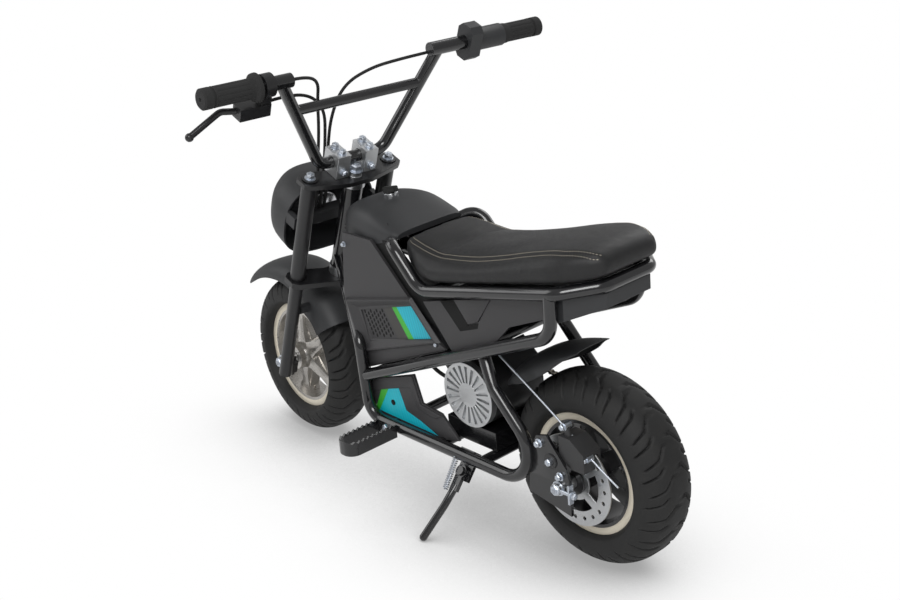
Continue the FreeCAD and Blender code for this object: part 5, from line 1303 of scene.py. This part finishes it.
class Fasteners:
    """Bolts, nuts and clamps, by the frame of reference that they are drawn in."""

    BIKE = (
        # x, y, z, axis, size across flats
        (34, 89.2, 206, (0, 1, 0), 9), (-4, 89.2, 166, (0, 1, 0), 9), (13, 89.2, 184, (0, 1, 0), 10),
        (34, -89.2, 206, (0, -1, 0), 9), (357, 100, 132, (0, 1, 0), 12), (357, -100, 132, (0, -1, 0), 12),
        (-3, 76, 238, (0, 1, 0), 8), (-42, 76, 199.5, (0, 1, 0), 8),
        (446, 80.2, 410, (0, 1, 0), 6), (446, -80.2, 410, (0, -1, 0), 6),
        (246, 80.2, 296, (0, 1, 0), 6), (246, -80.2, 296, (0, -1, 0), 6),
    )
    FORK = (
        (-14, 26, 431, (0, 0, 1), 10), (-34, 26, 431, (0, 0, 1), 10),
        (-14, -26, 431, (0, 0, 1), 10), (-34, -26, 431, (0, 0, 1), 10),
        (-43, 26, 403, (-1, 0, 0), 9), (-43, -26, 403, (-1, 0, 0), 9),
        (-39, 0, 398, (0, 0, 1), 17), (-25, 75, 393, (0, 0, 1), 12), (-25, -75, 393, (0, 0, 1), 12),
    )
    AXLES = ((GEO.rear_wheel, 89.3, 96.2, Bodies.FRAME), (GEO.fork, 64.8, 71.8, Bodies.STEERING))
    ARMS = (
        # start, end, radius
        ((-3, 72, 238), (-14, 74, 212), 5.0), ((-42, 72, 199.5), (-30, 74, 206), 5.0),
        ((34, 85, 206), (8, 80, 200), 6.0), ((-4, 85, 166), (-16, 80, 184), 6.0),
    )

    def placed(self, name: str, bm: bmesh.types.BMesh, place: Matrix, finish: Finish, body: Bodies,
               smooth: float = 30.0) -> None:
        """Finishes one lot of fasteners.

        Args:
            name: its name.
            bm: the lot in its own frame.
            place: that frame.
            finish: what it wears.
            body: the body it rides on.
            smooth: the largest angle that is shaded smooth, in degrees.
        """
        finished(name, meshed(name, bm, scaled(place)), finish, body, smooth)

    def build(self) -> None:
        """Makes them."""
        bm = bmesh.new()
        for x, y, z, axis, size in self.BIKE:
            bolt(bm, (x, y, z), axis, size)
        for x, z in ((-3, 238), (-42, 199.5)):
            post(bm, (x, 64.5, z), (0, 1, 0), 5.4, 11.5, 28)
        post(bm, (-7, 93, 146), (-1, 0, 0), 3.2, 24, 20)
        bolt(bm, (-29, 93, 146), (-1, 0, 0), 9)
        bmesh.ops.create_cube(bm, size=1.0, matrix=Matrix.Translation((-25, 92, 146))
                              @ Matrix.Diagonal((3.5, 8, 30, 1)))
        self.placed("frame_bolts", bm, GEO.bike, Finishes.ZINC, Bodies.FRAME)
        bm = bmesh.new()
        post(bm, (13, 83, 184), (0, 1, 0), 13, 8, 40, 11)
        for start, end, wide in self.ARMS:
            way = Vector(end) - Vector(start)
            post(bm, start, way, wide, way.length, 20)
        self.placed("brake_arms", bm, GEO.bike, Finishes.CALIPER, Bodies.FRAME, 40.0)
        bm = bmesh.new()
        for x, y, z, axis, size in self.FORK:
            bolt(bm, (x, y, z), axis, size)
        self.placed("fork_bolts", bm, GEO.fork, Finishes.ZINC, Bodies.STEERING)
        for place, low, high, body in self.AXLES:
            bm = bmesh.new()
            for side in (1, -1):
                bolt(bm, (0, side * low, 0), (0, side, 0), 15, high - low + 2)
                post(bm, (0, side * high, 0), (0, side, 0), 5.6, 4, 24, 5.0)
            self.placed(body.value + "_axle_nuts", bm, place, Finishes.ZINC, body)
        self.spring()

    def spring(self) -> None:
        """The side stand's return spring, from its bracket to the leg."""
        bm = bmesh.new()
        low, high = Vector((9, 9, -34)), Vector((13, 10, 16))
        way = high - low
        frame_ = towards(low, way)
        sections = []
        for number in range(15 * 12 + 1):
            turn = math.tau * number / 12
            middle = frame_ @ Vector((4 * math.cos(turn), 4 * math.sin(turn), way.length * number / 180))
            out = (frame_.to_3x3() @ Vector((math.cos(turn), math.sin(turn), 0))).normalized()
            up = way.normalized()
            sections.append([middle + (out * math.cos(a) + up * math.sin(a)) * 0.8
                             for a in (math.tau * step / 5 for step in range(5))])
        skinned(bm, sections)
        self.placed("stand_spring", bm, GEO.stand, Finishes.ZINC, Bodies.FRAME, 60.0)


class Chain:
    """The roller chain, link by link, round both sprockets."""

    PITCH = 8.2
    REAR, MOTOR = Vector((0, 146)), Vector((200, 222))
    RINGS = (54.0, 14.0)
    OFFSET = -58.0

    def line(self) -> list[Vector]:
        """Evenly spaced points of the loop, in the bike's side view."""
        gap = self.MOTOR - self.REAR
        base = math.atan2(gap.y, gap.x)
        lean = math.acos((self.RINGS[0] - self.RINGS[1]) / gap.length)
        spots = []
        for centre, radius, start, end in (
            (self.REAR, self.RINGS[0], base + lean, base - lean + math.tau),
            (self.MOTOR, self.RINGS[1], base - lean, base + lean),
        ):
            for number in range(61):
                turn = start + (end - start) * number / 60
                spots.append(centre + Vector((math.cos(turn), math.sin(turn))) * radius)
        spots.append(spots[0])
        lengths = [(after - before).length for before, after in zip(spots, spots[1:])]
        total = sum(lengths)
        count = round(total / self.PITCH / 2) * 2
        line, index, run = [], 0, 0.0
        for number in range(count):
            goal = total * number / count
            while run + lengths[index] < goal:
                run += lengths[index]
                index += 1
            line.append(spots[index].lerp(spots[index + 1], (goal - run) / lengths[index]))
        return line

    def build(self) -> None:
        """Makes the rollers, pins and plates."""
        bm = bmesh.new()
        line = self.line()
        for number, spot in enumerate(line):
            after = line[(number + 1) % len(line)]
            post(bm, (spot.x, self.OFFSET - 4.1, spot.y), (0, 1, 0), 1.1, 8.2, 10)
            post(bm, (spot.x, self.OFFSET - 2.4, spot.y), (0, 1, 0), 2.3, 4.8, 12)
            way = after - spot
            turn = Matrix.Rotation(-math.atan2(way.y, way.x), 4, "Y")
            middle = (spot + after) / 2
            reach = 3.6 if number % 2 == 0 else 2.8
            for side in (1, -1):
                place = Matrix.Translation((middle.x, self.OFFSET + side * reach, middle.y))
                bmesh.ops.create_cube(bm, size=1.0, matrix=place @ turn
                                      @ Matrix.Diagonal((way.length + 1.6, 0.75, 3.4, 1)))
                for end in (spot, after):
                    place = Matrix.Translation((end.x, self.OFFSET + side * reach, end.y))
                    bmesh.ops.create_cone(bm, cap_ends=True, segments=14, radius1=3.0, radius2=3.0,
                                          depth=0.8, matrix=place @ Matrix.Rotation(math.pi / 2, 4, "X"))
        piece = finished("chain_links", meshed("chain_links", bm, scaled(GEO.bike)), Finishes.CHAIN,
                         Bodies.FRAME, 40.0)
        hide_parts("drive_chain")


class ShadeSheet:
    """Near-black sheets of painted shade behind the seat tubes and the covers' joints."""

    SHAPE = ((392, 428), (334, 436), (300, 410), (262, 392), (205, 392), (150, 396), (150, 352),
             (215, 296), (300, 345))

    def build(self) -> None:
        """Makes one for each side."""
        panels = Panels()
        for side, hand in ((1, "left"), (-1, "right")):
            # a near-black sheet 9 mm in from the cover's face: painted shade where the openings show
            panels.plate("liner_" + hand, self.SHAPE, side, 9.0, 1.0, Finishes.SHADE_SHEET)


@dataclass
class Cord:
    """A cable that follows the source's route.

    Attributes are its node, the frame of reference its points are in, the points in millimetres,
    its diameter in millimetres and its body.
    """

    node: str
    place: Matrix
    route: Sequence[Point]
    diameter: float
    body: Bodies
    stiffness: str = "medium"
    lay: str = "hanging"
    finish: Finish | None = None

    def build(self) -> bpy.types.Object:
        """The cord, as a smooth curve."""
        curve = bpy.data.curves.new(self.node + "_cord", "CURVE")
        curve.dimensions = "3D"
        curve.resolution_u = 16
        curve.bevel_depth = 1.0
        curve.bevel_resolution = 5
        curve.use_fill_caps = True
        spline = curve.splines.new("NURBS")
        spline.points.add(len(self.route) - 1)
        spots = [self.place @ (Vector(spot[:3]) * MM) for spot in self.route]
        for point, spot in zip(spline.points, spots):
            point.co = (*spot, 1.0)
            point.radius = self.diameter / 2 * MM
        spline.order_u = 3
        spline.use_endpoint_u = True
        piece = bpy.data.objects.new(self.node + "_cord", curve)
        bpy.context.scene.collection.objects.link(piece)
        curve.materials.append((self.finish or Finishes.SHEATH).build())
        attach(piece, self.body.value)
        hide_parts(self.node)
        length = self.length(piece)
        log.info("%s: %.0f mm", self.node, length / MM)
        return piece

    def length(self, piece: bpy.types.Object) -> float:
        """The length of the curve's own line.

        Args:
            piece: the curve.

        Returns:
            Its length in metres.
        """
        depth = piece.data.bevel_depth
        piece.data.bevel_depth = 0.0
        bpy.context.view_layer.update()
        mesh = bpy.data.meshes.new_from_object(piece)
        piece.data.bevel_depth = depth
        spots = [vertex.co for vertex in mesh.vertices]
        total = sum((after - before).length for before, after in zip(spots, spots[1:]))
        bpy.data.meshes.remove(mesh)
        return total


class Cords:
    """Every cable of the bike."""

    SHELF = 310.3
    ROUTES = {
        "cable_brake": ((-8, 162.7, 540), (-3, 118, 540), (0, 74, 528), (6, 40, 492), (7, 31, 436),
                        (0, 30, 372), (0, 30, SHELF)),
        "cable_switch": ((-20, 127.7, 577), (-20, 100, 577), (-4, 66, 552), (14, 50, 506),
                         (14, 40, 450), (8, 38.5, 392), (0, 38, 350), (0, 38, SHELF)),
        "cable_throttle": ((-3, -195.7, 562), (-2, -140, 560), (2, -88, 556), (8, -40, 548),
                           (14, 4, 524), (14, 20, 474), (10, 22, 420), (0, 21, 364), (0, 21, SHELF)),
    }
    LEAD = ((251.2, 50, 225), (300, 50, 225), (311.8, 50, 252.9))

    def build(self) -> None:
        """Lays the cables."""
        for node, route in self.ROUTES.items():
            Cord(node, GEO.fork, route, 5.0, Bodies.STEERING).build()
        Cord("brake_cable", GEO.bike, ((150, 68.7, 322), (-1, 70, 236), (-40, 70, 201),
                                       (-95, 70, 172)), 3.0, Bodies.FRAME,
             finish=Finishes.ZINC).build()
        Cord("motor_lead", GEO.bike, self.LEAD, 6.0, Bodies.FRAME).build()


@dataclass
class Studio:
    """Camera, floor and light.

    Attributes are the camera's place in metres from the ground below the rear axle, its turn and
    tilt in degrees, and its focal length in pixels of the 900-pixel-wide picture.
    """

    spot: tuple[float, float, float] = (-1.3666, 1.5605, 1.0642)
    yaw: float = -42.4579
    pitch: float = -18.1201
    focal: float = 1561.72
    width: float = 900.0
    sensor: float = 36.0
    backdrop: Colour = (0.93, 0.93, 0.93)

    def build(self) -> None:
        """Makes the camera, the floor and the light."""
        self.camera()
        self.floor()
        self.light()
        bpy.context.scene.view_settings.view_transform = "Standard"

    def camera(self) -> None:
        """The photograph's viewpoint."""
        data = bpy.data.cameras.new("camera")
        data.sensor_width = self.sensor
        data.lens = self.sensor * self.focal / self.width
        camera = bpy.data.objects.new("camera", data)
        bpy.context.scene.collection.objects.link(camera)
        turn = Matrix.Rotation(math.radians(self.yaw), 4, "Z")
        tilt = Matrix.Rotation(math.radians(-self.pitch), 4, "Y")
        ahead = (turn @ tilt) @ Vector((1, 0, 0))
        camera.rotation_euler = ahead.to_track_quat("-Z", "Y").to_euler()
        camera.location = Vector(self.spot) + GEO.bike.to_translation()
        bpy.context.scene.camera = camera

    def floor(self) -> None:
        """A pale floor that the camera sees as a plain background with a soft painted shadow."""
        bm = bmesh.new()
        bmesh.ops.create_grid(bm, x_segments=1, y_segments=1, size=6.0)
        mesh = meshed("floor", bm)
        floor = bpy.data.objects.new("floor", mesh)
        bpy.context.scene.collection.objects.link(floor)
        look = Look("floor_pale")
        speckle = look.noise(30.0, 3.0)
        look.set(Base_Color=look.mix(speckle, self.backdrop, (0.92, 0.92, 0.92)), Roughness=0.9)
        # painted shadow: ambient occlusion darkens the emission colour the camera sees, from white to grey
        # near the bike
        near = look.node("ShaderNodeAmbientOcclusion", {"samples": 16}, {"Distance": 0.34})
        painted_shadow_mask = Expr(look, near.outputs["AO"]).soft(0.25, 0.97)
        seen = look.node("ShaderNodeBsdfPrincipled", values={
            "Base Color": (0.0, 0.0, 0.0), "Roughness": 1.0, "Specular IOR Level": 0.0,
            "Emission Color": look.mix(painted_shadow_mask, (0.36, 0.36, 0.36), (1.0, 1.0, 1.0)),
            "Emission Strength": 1.0})
        path = look.node("ShaderNodeLightPath")
        both = look.node("ShaderNodeMixShader", values={
            0: path.outputs["Is Camera Ray"], 1: look.shader.outputs[0], 2: seen.outputs[0]})
        output = look.tree.nodes["Material Output"]
        look.tree.links.new(both.outputs[0], output.inputs["Surface"])
        mesh.materials.append(look.material)

    def light(self) -> None:
        """Soft overhead light, a broad fill and a plain world."""
        for name, spot, size, power in (
            ("key", (-1.6, 2.2, 2.6), 1.6, 58.0),
            ("fill", (2.4, 1.6, 1.8), 2.0, 20.0),
            ("back", (0.6, -2.6, 2.4), 2.0, 26.0),
        ):
            data = bpy.data.lights.new(name, "AREA")
            data.size = size
            data.energy = power
            lamp = bpy.data.objects.new(name, data)
            bpy.context.scene.collection.objects.link(lamp)
            lamp.location = spot
            lamp.rotation_euler = (Vector((0, 0, 0.35)) - Vector(spot)).to_track_quat("-Z", "Y").to_euler()
        world = bpy.data.worlds.new("studio")
        world.use_nodes = True
        tree = world.node_tree
        background = tree.nodes["Background"]
        background.inputs["Color"].default_value = (1.0, 1.0, 1.0, 1.0)
        background.inputs["Strength"].default_value = 0.42
        plain = tree.nodes.new("ShaderNodeBackground")
        plain.inputs["Color"].default_value = (1.0, 1.0, 1.0, 1.0)
        plain.inputs["Strength"].default_value = 1.0
        path = tree.nodes.new("ShaderNodeLightPath")
        both = tree.nodes.new("ShaderNodeMixShader")
        tree.links.new(path.outputs["Is Camera Ray"], both.inputs[0])
        tree.links.new(background.outputs[0], both.inputs[1])
        tree.links.new(plain.outputs[0], both.inputs[2])
        tree.links.new(both.outputs[0], tree.nodes["World Output"].inputs["Surface"])
        bpy.context.scene.world = world


class Paintwork:
    """Which finish each carried-over CAD node wears."""

    FRAME = {
        Finishes.TUBE: ("head_tube", "backbone_tube", "side_tube_left", "side_tube_right",
                        "mid_rail_left", "mid_rail_right", "seat_loop", "cross_tubes",
                        "foot_peg_left", "foot_peg_right", "stand_bracket", "dropout_left",
                        "dropout_right", "motor_cradle"),
        Finishes.PANEL: ("side_panel_left", "side_panel_right", "lower_panel_left",
                         "lower_panel_right", "rear_panel_left", "rear_panel_right"),
        Finishes.COVER: ("tail_tray",),
        Finishes.STEEL: ("rear_axle", "motor_sprocket"),
        Finishes.MOTOR: ("motor",),
        Finishes.CAST: ("motor_cover",),
        Finishes.CALIPER: ("brake_caliper",),
        Finishes.BATTERY: ("battery_block",),
        Finishes.KEY: ("key_switch",),
    }
    REAR = {
        Finishes.REAR_RIM: ("rear_rim",),
        Finishes.STEEL: ("brake_rotor", "rear_sprocket"),
    }
    FRONT = {Finishes.FRONT_RIM: ("front_rim",)}
    STEERING = {
        Finishes.TUBE: ("handlebar",),
        Finishes.FORK: ("fork_leg_left", "fork_leg_right", "lower_yoke", "top_clamp",
                        "brake_lever"),
        Finishes.STEEL: ("steering_stem", "front_axle"),
        Finishes.CAST: ("bar_clamps",),
        Finishes.COVER: ("throttle_case", "headlight_bracket"),
        LENS: ("headlight_lens",),
    }
    STAND = {Finishes.TUBE: ("stand_leg",)}

    def build(self) -> None:
        """Dresses the nodes."""
        dresser = Dresser()
        for body, table in ((Bodies.FRAME, self.FRAME), (Bodies.REAR_WHEEL, self.REAR),
                            (Bodies.FRONT_WHEEL, self.FRONT), (Bodies.STEERING, self.STEERING),
                            (Bodies.STAND, self.STAND)):
            for finish, nodes in table.items():
                for node in nodes:
                    dresser.dress(node, finish, body)
        log.info("nodes dressed")


def main() -> None:
    """Builds everything."""
    Studio().build()
    Cords().build()
    Paintwork().build()
    Wheels().build()
    Panels().build()
    Bodywork().build()
    Controls().build()
    Fasteners().build()
    Chain().build()
    ShadeSheet().build()
    log.info("wheels, covers, controls, fasteners and chain made")
    Seat().build()


if __name__ == "__main__":
    main()
